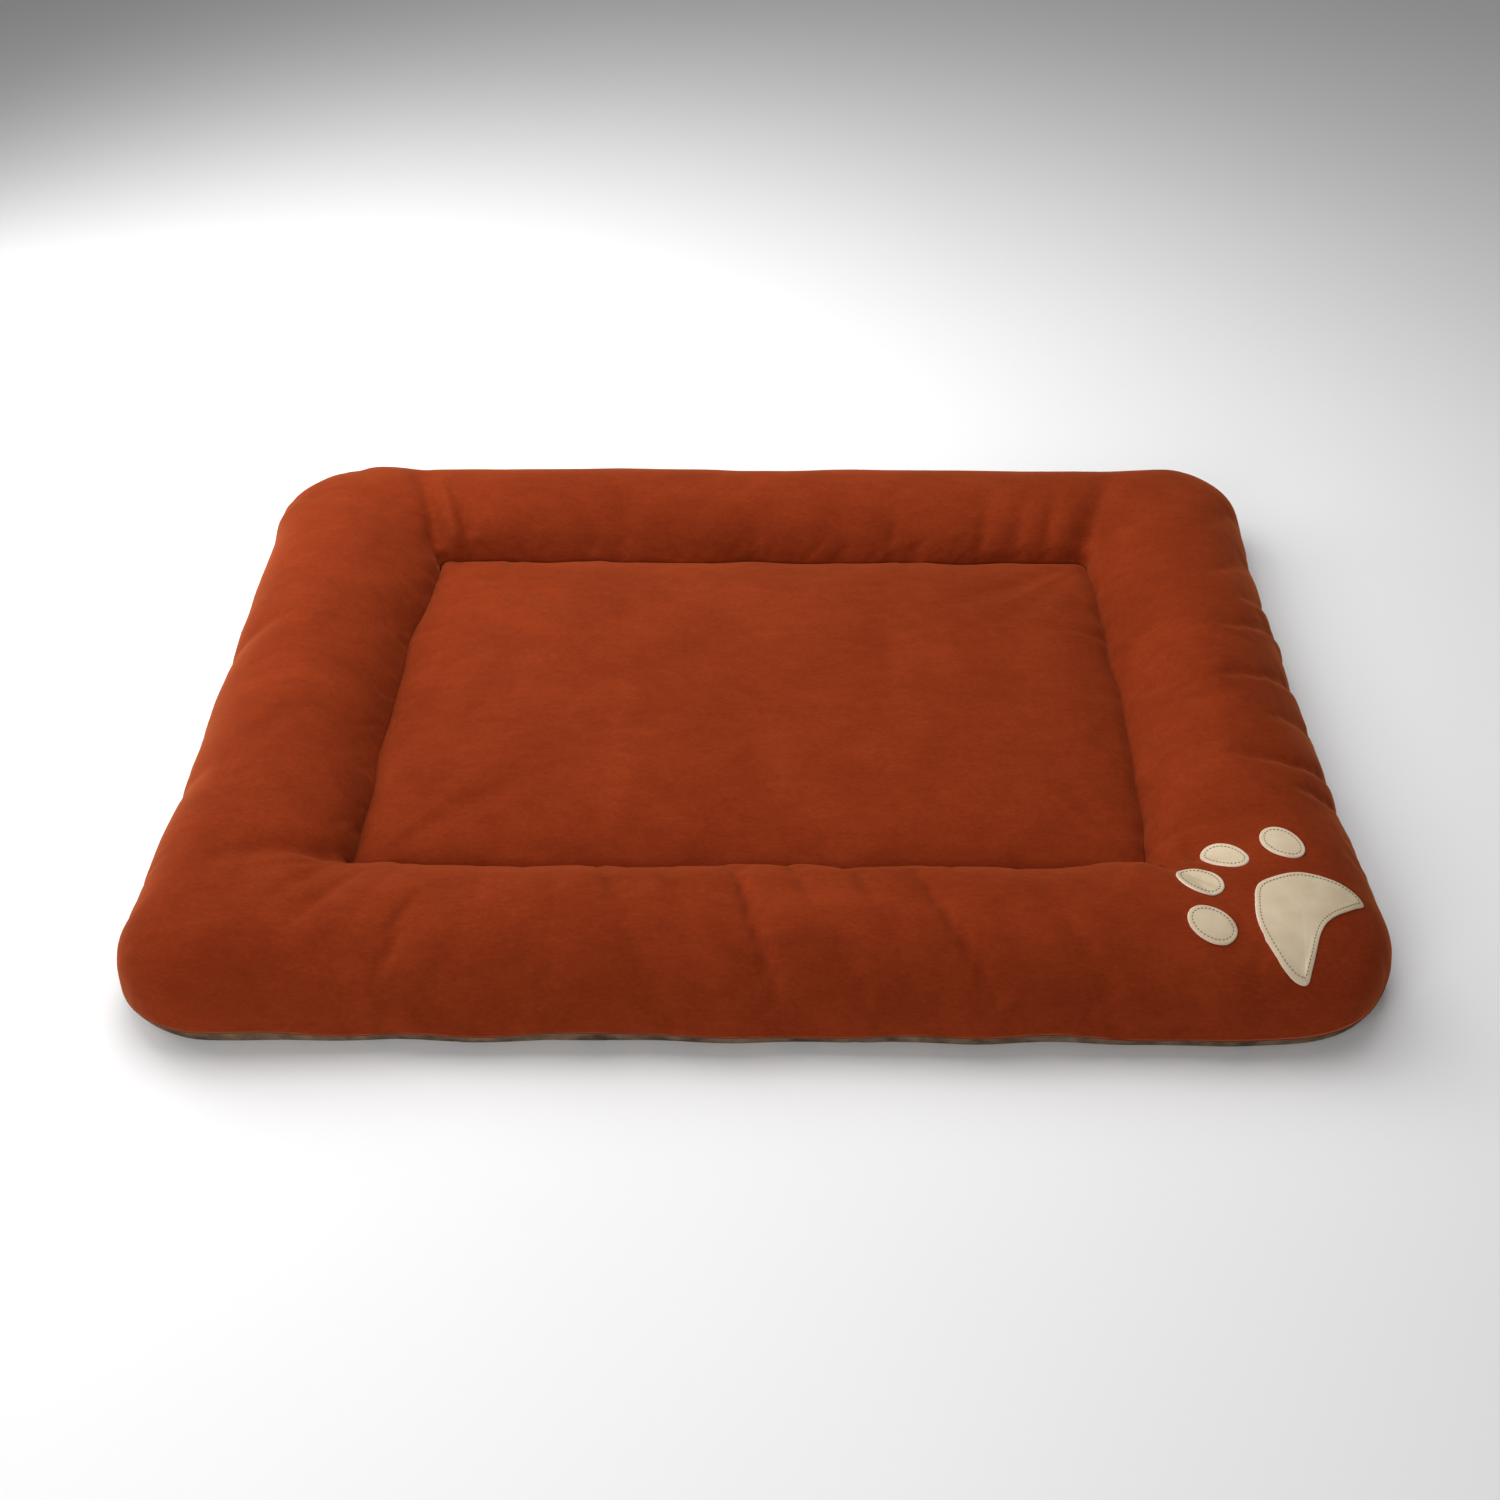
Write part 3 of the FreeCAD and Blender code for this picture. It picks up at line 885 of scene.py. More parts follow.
@dataclass
class VelvetCover:
    """The velvet top cover: a puffed ring over the bolster and a puffed sheet over the pad.

    Attributes:
        shape: The bed's driving sizes.
        ring_grid: The bolster's finished cloth, once it is built.
        rows: Rows of cloth from the middle seam to the edge seam.
        profile_points: Points of the profile that the rows are measured on.
        crown_share: Where the crown is, from the middle seam out, as a share of the width.
        fullness: The profile's power, 2 for an ellipse and more for a squarer one.
        corner_fullness: What the corners add to it.
        corner_rises: How much higher the crown is in the front corners and in the back ones.
        start_passes: How often the cloth is evened before it is puffed.
        corner_gather: How much deeper the puckers are in the corners, as a share.
        crease_again: Share of the folds that is pressed in once more after the puffing.
        calm_passes: How often the puffing is evened beyond the seam at the back and the left.
        calm_reach: How far beyond the seam that evening takes to come in.
        hem: Seam allowance that is turned under.
        slump: What the puffing adds to the crown's height.
        cell: Size of the pad's cells.
        pad_shoulder: How far from the seam the pad reaches its full height.
        pad_powers: Powers of the pad's shoulder, inner and outer.
        pad_dome: How much higher the pad's middle is.
        pad_slump: What the puffing adds to the pad's height.
        press: The bolster's cloth simulation.
        pad_press: The pad's cloth simulation.
    """

    shape: BedShape
    ring_grid: np.ndarray | None = None
    rows: int = 36
    profile_points: int = 321
    crown_share: float = 0.47
    fullness: float = 2.25
    corner_fullness: float = 0.55
    corner_rises: tuple[float, float] = (0.004, -0.002)
    start_passes: int = 6
    corner_gather: float = 1.4
    crease_again: float = 0.6
    calm_passes: int = 14
    calm_reach: float = 0.03
    hem: float = 0.003
    slump: float = 0.0085
    cell: float = 0.0066
    pad_shoulder: float = 0.105
    pad_powers: tuple[float, float] = (2.3, 1.9)
    pad_dome: float = 0.003
    pad_slump: float = 0.003
    press: ClothPress = ClothPress()
    pad_press: ClothPress = ClothPress(pressure=0.5, frames=20, spare=0.0, cap=0.015)

    def ring_start(self) -> tuple[np.ndarray, np.ndarray]:
        """The bolster's cloth before it is puffed, and the same cloth cut flat.

        Each column's profile is two quarter superellipses: from the middle seam up to the crown,
        and from the crown down to the edge seam. Rows are even along its length, and the whole
        cloth is then evened a little. In the flat cut a point lies that length away from the
        middle seam, so it has spare cloth at the corners.

        Returns:
            Two grids of columns by rows by three.
        """
        shape = self.shape
        inner, outer = shape.loops()
        span = outer - inner
        width = np.linalg.norm(span, axis=1)
        corner = shape.corner_share(width[:, None])
        rise = np.where(outer[:, 1:] < 0, *self.corner_rises)
        crown = shape.bolster_height - self.slump + rise * corner
        power = 2 / (self.fullness + self.corner_fullness * corner)
        angle = np.linspace(0, np.pi, self.profile_points)[None, :]
        cosine, sine = np.cos(angle), np.sin(angle)
        near = self.crown_share * width[:, None]
        bend = np.sign(cosine) * np.abs(cosine) ** power
        across = np.where(cosine > 0, near - near * bend, near - (width[:, None] - near) * bend)
        foot = np.where(cosine > 0, shape.valley_height, shape.rim_height)
        height = foot + (crown - foot) * np.abs(sine) ** power
        step = np.hypot(np.diff(across, prepend=0), np.diff(height, prepend=height[:, :1]))
        length = np.cumsum(step, axis=1)
        share = np.linspace(0, 1, self.rows)
        even = share * length[:, -1:]
        pick = np.stack([np.interp(e, l, a) for e, l, a in zip(even, length, across)])
        lift = np.stack([np.interp(e, l, z) for e, l, z in zip(even, length, height)])
        away = span / width[:, None]
        start = np.concatenate((inner[:, None] + away[:, None] * pick[..., None], lift[..., None]), axis=2)
        start = soften(start, True, self.start_passes)
        level = np.full((*even.shape, 1), shape.valley_height)
        flat = np.concatenate((inner[:, None] + away[:, None] * even[..., None], level), axis=2)
        return start, flat

    def ring(self) -> np.ndarray:
        """The bolster's finished cloth: seeded with its folds, puffed, halved and gathered.

        What the puffing moved is evened at the back and the left, where the cloth lies calmer.
        The folds are pressed in once more at the end, less deep, with the puckers at both seams.

        Returns:
            Columns by rows by three.
        """
        folds = CORNER_FOLDS + SLACK_FOLDS
        start, flat = self.ring_start()
        seeded = start - grid_normals(start, True) * fold_push(start, folds)[..., None]
        columns, rows = start.shape[:2]
        index = np.arange(columns * rows).reshape(columns, rows)
        faces = grid_faces(columns, rows, True)
        puffed = self.press.run(seeded, flat, faces, index[:, [0, -1]].ravel())
        calm = seeded + soften(puffed - seeded, True, self.calm_passes)
        half_x, half_y = self.shape.seam_half
        beyond = np.maximum(start[..., 1] - half_y, -half_x - start[..., 0])
        far = np.clip(beyond / self.calm_reach, 0, 1)[..., None]
        puffed += (calm - puffed) * far
        fine = halve(halve(puffed, 0, True), 1, False)
        run, reach, total = self.seam_places(fine, -1)
        push = sum(gather.push(run, reach, total) for gather in EDGE_GATHERS)
        width = np.linalg.norm(fine[:, -1, :2] - fine[:, 0, :2], axis=1)[:, None]
        push *= 1 + self.corner_gather * self.shape.corner_share(width)
        run, reach, total = self.seam_places(fine, 0)
        push += VALLEY_GATHER.push(run, reach, total)
        push += self.crease_again * fold_push(fine, folds)
        push += fold_push(fine, FIBRE_FOLDS)
        push[:, [0, -1]] = 0
        return self.shape.warp(fine - grid_normals(fine, True) * push[..., None])

    @staticmethod
    def seam_places(grid: np.ndarray, edge: int) -> tuple[np.ndarray, np.ndarray, float]:
        """Where each point of a ring is along and away from the seam in its first or last row.

        Args:
            grid: Columns by rows by three.
            edge: 0 for the first row, -1 for the last.

        Returns:
            Distance along the seam, distance up the cloth, and the seam's length.
        """
        seam = grid[:, edge]
        step = np.linalg.norm(np.roll(seam, -1, 0) - seam, axis=1)
        run = np.cumsum(step) - step
        rise = np.linalg.norm(np.diff(grid, axis=1), axis=-1)
        up = np.concatenate((np.zeros((len(grid), 1)), np.cumsum(rise, axis=1)), axis=1)
        reach = up if edge == 0 else up[:, -1:] - up
        return run[:, None], reach, float(step.sum())

    def pad_start(self) -> tuple[np.ndarray, np.ndarray]:
        """The pad's cloth before it is puffed, and its flat cut.

        A grid fills the seam's rectangle, and near the corners it is drawn in to the seam's
        radius. The height is a quarter superellipse of the distance from the seam, over a low
        dome. In the flat cut a point lies its length of cloth from the middle, both ways.

        Returns:
            Two grids of columns by rows by three.
        """
        half_x, half_y = self.shape.seam_half
        radius = self.shape.seam_radius
        across = np.linspace(-1, 1, int(2 * half_x / self.cell) + 1)[:, None]
        along = np.linspace(-1, 1, int(2 * half_y / self.cell) + 1)[None, :]
        x = across * half_x + 0 * along
        y = along * half_y + 0 * across
        over_x = np.maximum(np.abs(x) - (half_x - radius), 0)
        over_y = np.maximum(np.abs(y) - (half_y - radius), 0)
        larger = np.maximum(over_x, over_y)
        squeeze = np.where(larger > 0, larger / np.maximum(np.hypot(over_x, over_y), 1e-9), 1)
        x = np.sign(x) * (np.abs(x) - over_x + over_x * squeeze)
        y = np.sign(y) * (np.abs(y) - over_y + over_y * squeeze)
        rise = 1.0
        for edge in (half_x - np.abs(x), half_y - np.abs(y)):
            share = np.clip(edge / self.pad_shoulder, 0, 1)
            rise = rise * (1 - (1 - share) ** self.pad_powers[0]) ** (1 / self.pad_powers[1])
        beyond = np.hypot(over_x * squeeze, over_y * squeeze) / radius
        rise = np.where((over_x > 0) & (over_y > 0), rise * np.sqrt(np.clip(1 - beyond**4, 0, 1)), rise)
        dome = np.cos(np.clip(across, -1, 1) * np.pi / 2) * np.cos(np.clip(along, -1, 1) * np.pi / 2)
        foot = self.shape.valley_height
        top = self.shape.pad_height - foot - self.pad_dome - self.pad_slump
        z = foot + top * rise + self.pad_dome * dome
        start = np.stack((x, y, z), axis=-1)
        step_x = np.hypot(np.diff(x, axis=0), np.diff(z, axis=0))
        step_y = np.hypot(np.diff(y, axis=1), np.diff(z, axis=1))
        run_x = np.concatenate((np.zeros((1, z.shape[1])), np.cumsum(step_x, axis=0)))
        run_y = np.concatenate((np.zeros((z.shape[0], 1)), np.cumsum(step_y, axis=1)), axis=1)
        flat = np.stack((run_x - run_x[-1:] / 2, run_y - run_y[:, -1:] / 2, np.full_like(z, foot)), axis=-1)
        return start, flat

    def pad(self) -> np.ndarray:
        """The pad's finished cloth: puffed, halved, with small puckers along the seam.

        Returns:
            Columns by rows by three.
        """
        start, flat = self.pad_start()
        columns, rows = start.shape[:2]
        index = np.arange(columns * rows).reshape(columns, rows)
        rim = np.unique(np.concatenate((index[[0, -1]].ravel(), index[:, [0, -1]].ravel())))
        puffed = self.pad_press.run(start, flat, grid_faces(columns, rows, False, False), rim)
        fine = halve(halve(puffed, 0, False), 1, False)
        x, y = fine[..., 0], fine[..., 1]
        half_x, half_y = self.shape.seam_half
        push = np.zeros(x.shape)
        sides = (
            ("back", x, half_y - np.abs(y), half_x, y > 0),
            ("front", x, half_y - np.abs(y), half_x, y <= 0),
            ("right", y, half_x - np.abs(x), half_y, x > 0),
            ("left", y, half_x - np.abs(x), half_y, x <= 0),
        )
        # A side counts as a fifth longer than it is, so that puckers don't run on round its ends.
        for name, run, reach, half, beside in sides:
            push += beside * PAD_GATHERS[name].push(run + half, reach, 2 * half * 1.2)
        push[[0, -1]] = 0
        push[:, [0, -1]] = 0
        return self.shape.warp(fine + grid_normals(fine, False) * push[..., None])

    def build(self) -> bpy.types.Object:
        """Make the cover as one piece, the ring and the pad's sheet meeting in the middle seam.

        Returns:
            The cover.
        """
        self.ring_grid = self.ring()
        tuck = np.array((0.0, 0.0, -self.hem))
        edge = self.ring_grid[:, -1:]
        inwards = edge * (1 - self.hem / np.linalg.norm(edge[..., :2], axis=-1, keepdims=True))
        ring = np.concatenate((self.ring_grid[:, :1] + tuck, self.ring_grid, inwards), axis=1)
        pad = self.pad()
        faces = np.concatenate((
            grid_faces(*ring.shape[:2], True),
            grid_faces(*pad.shape[:2], False, False) + ring.shape[0] * ring.shape[1],
        ))
        points = np.concatenate((ring.reshape(-1, 3), pad.reshape(-1, 3)))
        cover = make_piece("velvet_top_cover", points, faces.tolist(), Velvet(), "velvet")
        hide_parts("top_cover", "bolster_fill", "centre_fill")
        return cover


@dataclass
class BaseCover:
    """The woven base cloth: up from the floor to the edge seam, and in a groove to the middle one.

    Attributes:
        shape: The bed's driving sizes.
        inset: How far inside the velvet's edge it starts.
        foot: Width of the curve from the edge seam to the floor.
        groove: Width of the curve from the floor up to the middle seam.
        floor_gap: How far the flat cloth is above the floor.
        cells: Cells across the cloth under the pad, each way.
    """

    shape: BedShape
    inset: float = 0.0008
    foot: float = 0.013
    groove: float = 0.024
    floor_gap: float = 0.0002
    cells: int = 40

    def ring(self) -> np.ndarray:
        """The cloth under the bolster, from the edge seam to the middle seam's groove.

        The profile is a quarter ellipse under the edge, a flat on the floor, and a quarter
        ellipse up into the groove.

        Returns:
            A grid of columns by rows by three.
        """
        shape = self.shape
        inner, outer = shape.loops()
        span = inner - outer
        width = np.linalg.norm(span, axis=1)[:, None]
        quarter = np.linspace(0, np.pi / 2, 9)
        edge_in = self.inset + self.foot * (1 - np.cos(quarter))
        edge_up = self.floor_gap + (shape.rim_height - self.floor_gap) * (1 - np.sin(quarter))
        flat = np.linspace(0, 1, 8)[1:-1]
        start = edge_in[-1]
        middle = start + (width - self.groove - start) * flat
        groove_in = width - self.groove + self.groove * np.sin(quarter)
        groove_up = self.floor_gap + (shape.groove_height - self.floor_gap) * (1 - np.cos(quarter))
        count = len(width)
        inwards = np.concatenate((np.tile(edge_in, (count, 1)), middle, groove_in), axis=1)
        profile = np.concatenate((edge_up, np.full(len(flat), self.floor_gap), groove_up))
        up = np.tile(profile, (count, 1))
        plan = outer[:, None] + (span / width)[:, None] * inwards[..., None]
        grid = np.concatenate((plan, up[..., None]), axis=2)
        run, reach, total = VelvetCover.seam_places(grid, 0)
        push = BASE_GATHER.push(run, reach, total)
        push[:, 0] = 0
        grid[..., :2] -= grid_normals(grid, True)[..., :2] * push[..., None]
        return shape.warp(grid)

    def middle(self) -> np.ndarray:
        """The cloth under the pad: flat on the floor, with a rolled edge up to the middle seam.

        Its edge is a quarter ellipse of the distance from the seam.

        Returns:
            Columns by rows by three.
        """
        half_x, half_y = self.shape.seam_half
        cut = np.sin(np.linspace(-1, 1, self.cells + 1) * np.pi / 2)
        x, y = np.meshgrid(cut * half_x, cut * half_y, indexing="ij")
        inside = np.minimum(half_x - np.abs(x), half_y - np.abs(y))
        share = 1 - np.clip(inside / self.groove, 0, 1)
        rise = self.shape.groove_height - self.floor_gap
        z = self.floor_gap + rise * (1 - np.sqrt(np.maximum(1 - share**2, 0)))
        return self.shape.warp(np.stack((x, y, z), axis=-1))

    def build(self) -> bpy.types.Object:
        """Make the base cover as one piece.

        Returns:
            The cover.
        """
        ring, middle = self.ring(), self.middle()
        faces = np.concatenate((
            grid_faces(*ring.shape[:2], True),
            grid_faces(*middle.shape[:2], False) + ring.shape[0] * ring.shape[1],
        ))
        points = np.concatenate((ring.reshape(-1, 3), middle.reshape(-1, 3)))
        cover = make_piece("woven_base_cover", points, faces.tolist(), WovenBase(), "base_cloth")
        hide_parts("base_cover")
        return cover


@dataclass
class SeamThread:
    """The thread of one seam: a thin tube along the seam's line, with a bead at each stitch.

    Attributes:
        node: Its CAD node.
        sink: How far it lies below the cloth's edge.
        radius: The thread's radius.
        stitch: Length of one stitch.
        bead: How much a stitch swells, as a share of the radius.
    """

    node: str
    sink: float
    radius: float = 0.0003
    stitch: float = 0.0035
    bead: float = 0.25

    def build(self, line: np.ndarray) -> bpy.types.Object:
        """Lay the thread along a closed line.

        Args:
            line: Points of the cloth's edge.

        Returns:
            The thread.
        """
        smooth = halve(halve(line[:, None], 0, True), 0, True)[:, 0]
        smooth = smooth - np.array((0, 0, self.sink))
        along = np.roll(smooth, -1, 0) - np.roll(smooth, 1, 0)
        step = np.linalg.norm(along, axis=1, keepdims=True)
        along /= step
        run = np.cumsum(step[:, 0] / 2)
        side = np.cross(along, (0.0, 0.0, 1.0))
        side /= np.linalg.norm(side, axis=1, keepdims=True)
        up = np.cross(side, along)
        turn = np.arange(THREAD_SIDES) / THREAD_SIDES * math.tau
        swell = self.radius * (1 + self.bead * np.cos(run / self.stitch * math.tau))
        ring = np.cos(turn)[None, :, None] * side[:, None] + np.sin(turn)[None, :, None] * up[:, None]
        tube = smooth[:, None] + ring * swell[:, None, None]
        tube = np.concatenate((tube, tube[:, :1]), axis=1)
        faces = grid_faces(*tube.shape[:2], True).tolist()
        thread = make_piece(f"{self.node}_run", tube, faces, DyedThread(), "seam_thread")
        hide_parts(self.node)
        return thread


# ---------------------------------------------------------------- the paw

@dataclass
class Patch:
    """One leatherette patch and its stitches.

    Attributes:
        node: Its CAD node, which gives its place.
        outline: Its outline about its own middle, points by two.
        middle: The point inside that its grid spreads from.
        thickness: The leatherette's thickness.
        stitch_inset: How far the stitches are in from the edge.
        stitch_pitch: From one stitch to the next.
        stitch_length: What shows of a stitch.
        stitch_sink: How far the stitches pull the leatherette down.
        thread_radius: The thread's radius.
        thread_lift: How far the thread's middle is above the leatherette.
        spokes: Rows from the middle to the stitches.
        rim_insets: How far in from the edge the rows beyond the stitches are.
        edge_drops: How far the last two rows are rounded off.
        pile_depth: How far the sides go down into the pile.
        lay_passes: How often its height is evened once it lies on the velvet.
    """

    node: str
    outline: np.ndarray
    middle: np.ndarray
    thickness: float = 0.0012
    stitch_inset: float = 0.0030
    stitch_pitch: float = 0.0027
    stitch_length: float = 0.0017
    stitch_sink: float = 0.12 * MM
    thread_radius: float = 0.00030
    thread_lift: float = 0.2 * MM
    spokes: int = 14
    rim_insets: tuple[float, ...] = (2.0 * MM, 0.8 * MM, 0.35 * MM, 0.0)
    edge_drops: tuple[float, float] = (0.10 * MM, 0.35 * MM)
    pile_depth: float = 0.8 * MM
    lay_passes: int = 12

    def inset_outline(self, inset: float) -> np.ndarray:
        """The outline moved inwards along its normals.

        Args:
            inset: How far.

        Returns:
            Points by two.
        """
        ahead = np.roll(self.outline, -1, 0) - np.roll(self.outline, 1, 0)
        inward = np.stack((-ahead[:, 1], ahead[:, 0]), axis=1)
        return self.outline + inward / np.linalg.norm(inward, axis=1, keepdims=True) * inset

    def plan(self) -> np.ndarray:
        """The patch's grid in plan: columns round it, rows from its middle to its edge.

        Rows are even from the middle to the stitches, and the last ones follow the edge.

        Returns:
            Columns by rows by two.
        """
        stitched = self.inset_outline(self.stitch_inset)
        share = (np.arange(1, self.spokes + 1) / self.spokes)[None, :, None]
        inner = self.middle + (stitched[:, None] - self.middle) * share
        rim = [self.inset_outline(inset)[:, None] for inset in self.rim_insets]
        return np.concatenate([inner, *rim], axis=1)

    def build(self, ground: bpy.types.Object) -> tuple[bpy.types.Object, bpy.types.Object]:
        """Lay the patch on the velvet and sew it down.

        The plan grid is dropped on the cover, evened, and given its thickness: the top face
        bellies over the stitches and rounds off at the edge, and the sides go down into the pile.

        Args:
            ground: The velvet cover.

        Returns:
            The patch and its stitches.
        """
        plan = self.plan()
        landed = drop_on(plan, ground)
        landed[..., 2] = soften(landed, True, self.lay_passes)[..., 2]
        normal = grid_normals(landed, True)
        normal *= np.sign(normal[..., 2:3])
        row = self.spokes - 1
        lift = np.full(plan.shape[1], self.thickness)
        lift[row] -= self.stitch_sink
        lift[-2:] -= self.edge_drops
        top = landed + normal * lift[None, :, None]
        side = landed[:, -1:] - normal[:, -1:] * self.pile_depth
        centre = top[:, 0].mean(0)
        grid = np.concatenate((top, side), axis=1)
        columns, rows = grid.shape[:2]
        points = np.concatenate((grid.reshape(-1, 3), centre[None]))
        quads = grid_faces(columns, rows, True)
        first = np.arange(columns) * rows
        fan = np.stack((np.full(columns, columns * rows), first, np.roll(first, -1)), axis=1)
        faces = quads.tolist() + fan.tolist()
        edge = np.zeros((columns, rows))
        edge[:, -3:] = (0.0, 0.7, 1)
        attribute = np.concatenate((edge.ravel(), [0.0]))
        patch = make_piece(f"{self.node}_leatherette", points, faces, Leatherette(), "leatherette",
                           {"cut_edge": attribute})
        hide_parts(self.node)
        stitches = self.sew(top[:, row], normal[:, row])
        return patch, stitches

    def sew(self, line: np.ndarray, normal: np.ndarray) -> bpy.types.Object:
        """A row of stitches along a closed line on the patch.

        Each stitch is a six-sided spindle: five rings along it, thin at both ends, whose middle
        rises a little above its ends.

        Args:
            line: Points of the line.
            normal: The patch's normals there.

        Returns:
            The stitches, as one object.
        """
        step = np.linalg.norm(np.roll(line, -1, 0) - line, axis=1)
        run = np.concatenate(([0], np.cumsum(step)))
        count = int(round(run[-1] / self.stitch_pitch))
        ends = np.linspace(0, run[-1], count, endpoint=False)
        stations = np.array((-0.5, -0.3, 0.0, 0.3, 0.5))
        thin = np.array((0.25, 0.9, 1.0, 0.9, 0.25))
        arch = np.array((-0.5, 0.2, 0.5, 0.2, -0.5)) * self.thread_radius
        where = (ends[:, None] + stations * self.stitch_length) % run[-1]
        closed = np.concatenate((line, line[:1]))
        up_closed = np.concatenate((normal, normal[:1]))
        spine = np.stack([np.interp(where, run, closed[:, axis]) for axis in range(3)], axis=-1)
        up = np.stack([np.interp(where, run, up_closed[:, axis]) for axis in range(3)], axis=-1)
        spine = spine + up * (arch[None, :, None] + self.thread_lift)
        along = np.gradient(spine, axis=1)
        along /= np.linalg.norm(along, axis=-1, keepdims=True)
        sideways = np.cross(along, up)
        turn = np.arange(THREAD_SIDES) / THREAD_SIDES * math.tau
        ring = (np.cos(turn)[:, None] * sideways[..., None, :] + np.sin(turn)[:, None] * up[..., None, :])
        tube = spine[..., None, :] + ring * (self.thread_radius * thin)[None, :, None, None]
        per = THREAD_SIDES * len(stations)
        index = np.arange(per).reshape(len(stations), THREAD_SIDES).T.ravel()
        local = index[grid_faces(THREAD_SIDES, len(stations), True)]
        faces = (local[None] + np.arange(count)[:, None, None] * per).reshape(-1, 4)
        end = np.arange(THREAD_SIDES)
        caps = np.stack((end[::-1], end + per - THREAD_SIDES))
        cap_faces = (caps[None] + np.arange(count)[:, None, None] * per).reshape(-1, THREAD_SIDES)
        sewn = make_piece(f"{self.node}_thread", tube, faces.tolist() + cap_faces.tolist(), SewingThread(),
                          "patch_thread")
        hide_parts(f"{self.node}_stitches")
        return sewn


def drop_on(plan: np.ndarray, ground: bpy.types.Object, height: float = 0.2) -> np.ndarray:
    """Drop a grid in plan straight down onto an object.

    Args:
        plan: Columns by rows by two.
        ground: What it lands on.
        height: Where it falls from, above the bed.

    Returns:
        Columns by rows by three.
    """
    above = np.concatenate((plan, np.full((*plan.shape[:2], 1), height)), axis=2)
    mesh = bpy.data.meshes.new("dropped")
    mesh.from_pydata(above.reshape(-1, 3).tolist(), [], [])
    sheet = bpy.data.objects.new("dropped", mesh)
    bpy.context.scene.collection.objects.link(sheet)
    fall = sheet.modifiers.new("fall", "SHRINKWRAP")
    fall.target = ground
    fall.wrap_method = "PROJECT"
    fall.use_project_z = True
    fall.use_positive_direction = False
    fall.use_negative_direction = True
    shown = sheet.evaluated_get(bpy.context.evaluated_depsgraph_get())
    landed = np.empty(above.size)
    shown.to_mesh().vertices.foreach_get("co", landed)
    shown.to_mesh_clear()
    bpy.data.objects.remove(sheet)
    bpy.data.meshes.remove(mesh)
    return landed.reshape(above.shape)


class Toe(Enum):
    """The four toes: their CAD nodes, and how far each is splayed from the paw's own direction."""

    FRONT_OUTER = ("paw_toe_front_outer", 8)
    FRONT_INNER = ("paw_toe_front_inner", 0)
    SIDE_INNER = ("paw_toe_side_inner", -10)
    SIDE_OUTER = ("paw_toe_side_outer", -16)

    @property
    def node(self) -> str:
        """The toe's CAD node."""
        return self.value[0]

    @property
    def splay(self) -> float:
        """The toe's splay, anticlockwise, in radians."""
        return math.radians(self.value[1])


@dataclass
class Paw:
    """The paw: a main pad and four toes, all turned the same way."""

    angle: float = math.radians(140)
    pad_length: float = 0.063
    pad_width: float = 0.088
    toe_length: float = 0.035
    toe_width: float = 0.0265
    pad_middle: float = 0.010
    columns: int = 96

    # Half outline of the main pad: shares of its length along the paw and half width across it.
    half_outline: tuple[tuple[float, float], ...] = (
        (0.68, 0.0), (0.60, 0.31), (0.41, 0.68), (0.08, 0.94), (-0.14, 1.00), (-0.27, 0.95),
        (-0.315, 0.87), (-0.29, 0.75), (-0.235, 0.52), (-0.17, 0.25), (-0.145, 0.0),
    )

    def turn(self, points: np.ndarray) -> np.ndarray:
        """Turn points from the paw's own axes to the bed's."""
        cosine, sine = math.cos(self.angle), math.sin(self.angle)
        return points @ np.array(((cosine, sine), (-sine, cosine)))

    def main_outline(self) -> np.ndarray:
        """The main pad's outline: the half outline and its mirror, halved three times to a curve.

        Returns:
            Points by two.
        """
        half = np.array(self.half_outline) * (self.pad_length, self.pad_width / 2)
        mirrored = half[-2:0:-1] * (1, -1)
        outline = np.concatenate((half, mirrored))[:, None]
        for _ in range(3):
            outline = halve(outline, 0, True)
        return outline[:, 0]

    def toe_outline(self, splay: float) -> np.ndarray:
        """A toe's outline: an ellipse along the paw, turned by its splay.

        Args:
            splay: Anticlockwise, in radians.

        Returns:
            Points by two.
        """
        angle = np.arange(self.columns) / self.columns * math.tau
        x = np.cos(angle) * self.toe_length / 2
        y = np.sin(angle) * self.toe_width / 2
        cosine, sine = math.cos(splay), math.sin(splay)
        return np.stack((x * cosine - y * sine, x * sine + y * cosine), axis=1)

    def placed(self, node: str, outline: np.ndarray, start: tuple[float, float]) -> Patch:
        """Turn an outline and put it where its CAD node is.

        Args:
            node: The CAD node.
            outline: Points about the patch's own origin.
            start: Where its grid spreads from, about the same origin.

        Returns:
            The patch, ready to build.
        """
        low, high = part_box(node)
        turned = self.turn(outline)
        centre = np.array(((low[0] + high[0]) / 2, (low[1] + high[1]) / 2))
        shift = centre - (turned.min(0) + turned.max(0)) / 2
        return Patch(node, turned + shift, self.turn(np.array((start,)))[0] + shift)

    def build(self, ground: bpy.types.Object) -> list[bpy.types.Object]:
        """Make the five patches and their stitches.

        Args:
            ground: The velvet cover.

        Returns:
            The ten pieces.
        """
        patches = [self.placed("paw_main_pad", self.main_outline(), (self.pad_middle, 0.0))]
        patches += [self.placed(toe.node, self.toe_outline(toe.splay), (0.0, 0.0)) for toe in Toe]
        return [piece for patch in patches for piece in patch.build(ground)]


# ---------------------------------------------------------------- studio

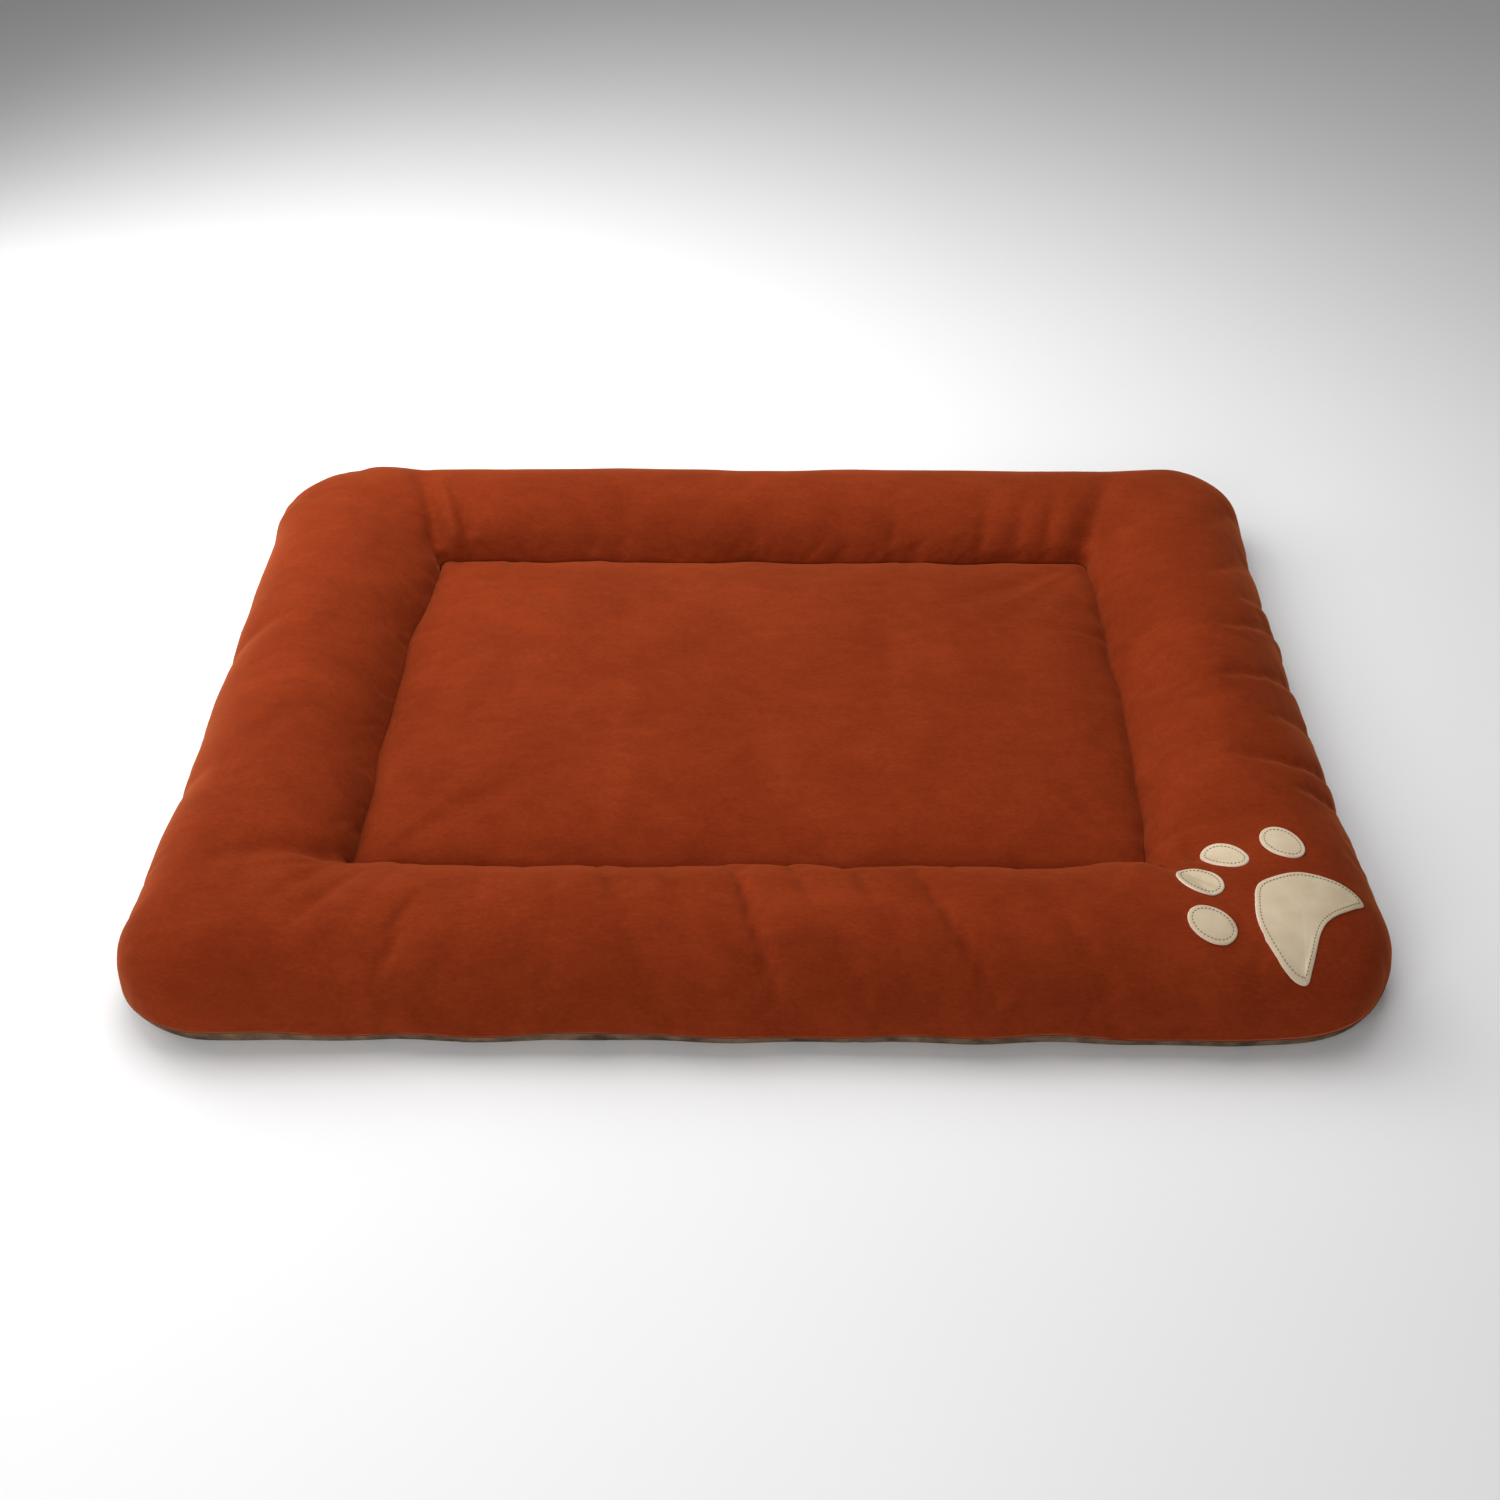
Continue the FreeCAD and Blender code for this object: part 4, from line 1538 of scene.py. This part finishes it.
@dataclass
class Studio:
    """Floor, lights and camera.

    Attributes:
        stand: Where the camera is, before its heading: right, back from the bed, and up.
        pitch: How far the camera looks down.
        heading: How far the camera is walked round the bed.
        lens_mm: The camera's lens.
        floor_half: Half the floor's size.
        sky: Strength of the even light from all round.
        lamps: Name, place, size and watts of each soft light.
    """

    stand: tuple[float, float, float] = (-0.0059, 1.0609, 0.9343)
    pitch: float = math.radians(41.93)
    heading: float = math.radians(0.4125)
    lens_mm: float = 40.32
    floor_half: float = 6.0
    sky: float = 0.17
    lamps: tuple[tuple[str, tuple[float, float, float], float, float], ...] = (
        ("key_softbox", (-0.62, 0.62, 1.05), 0.9, 10),
        ("low_side_softbox", (-1.2, 0.3, 0.5), 0.9, 7),
        ("top_softbox", (0.1, 0.3, 1.3), 0.9, 8),
        ("front_fill", (-0.8, -1.7, 0.95), 1.0, 14.5),
    )

    def floor(self) -> None:
        """A plain pale floor."""
        half = self.floor_half
        corners = np.array(((-half, -half, 0.0), (half, -half, 0.0), (half, half, 0.0), (-half, half, 0.0)))
        floor = make_piece("studio_floor", corners, [[0, 1, 2, 3]], StudioPaper(), None)

    def light(self, name: str, place: tuple[float, float, float], size: float, watts: float) -> None:
        """A soft square light that faces the bed.

        Args:
            name: Its name.
            place: Where it stands.
            size: Length of its side.
            watts: Its power.
        """
        lamp = bpy.data.lights.new(name, "AREA")
        lamp.size = size
        lamp.energy = watts
        made = bpy.data.objects.new(name, lamp)
        bpy.context.scene.collection.objects.link(made)
        made.location = place
        made.rotation_euler = (-Vector(place)).to_track_quat("-Z", "Y").to_euler()

    def camera(self) -> None:
        """The camera, in front of the bed and above it."""
        data = bpy.data.cameras.new("camera")
        data.sensor_width = 36
        data.lens = self.lens_mm
        made = bpy.data.objects.new("camera", data)
        bpy.context.scene.collection.objects.link(made)
        right, back, up = self.stand
        cosine, sine = math.cos(self.heading), math.sin(self.heading)
        made.location = (right * cosine + back * sine, right * sine - back * cosine, up)
        made.rotation_euler = (math.pi / 2 - self.pitch, 0, self.heading)
        bpy.context.scene.camera = made

    def build(self) -> None:
        """Set the whole studio up."""
        self.floor()
        for lamp in self.lamps:
            self.light(*lamp)
        world = bpy.data.worlds.new("studio_world")
        world.use_nodes = True
        back = world.node_tree.nodes["Background"]
        back.inputs["Color"].default_value = (1.0, 1.0, 1.0, 1.0)
        back.inputs["Strength"].default_value = self.sky
        scene = bpy.context.scene
        scene.world = world
        scene.view_settings.view_transform = "Standard"
        self.camera()


def main() -> None:
    """Build the bed and the studio, and report each piece."""
    logging.basicConfig(level=logging.INFO, format="%(name)s: %(message)s")
    shape = BedShape.from_frame()
    velvet = VelvetCover(shape)
    cover = velvet.build()
    pieces = [
        cover,
        BaseCover(shape).build(),
        SeamThread("edge_seam_thread", 0.0006).build(velvet.ring_grid[:, -1]),
        SeamThread("middle_seam_thread", 0.0030).build(velvet.ring_grid[:, 0]),
        *Paw().build(cover),
    ]
    for piece in pieces:
        LOG.info("%s: %d points", piece.name, len(piece.data.vertices))
    Studio().build()


if __name__ == "__main__":
    main()
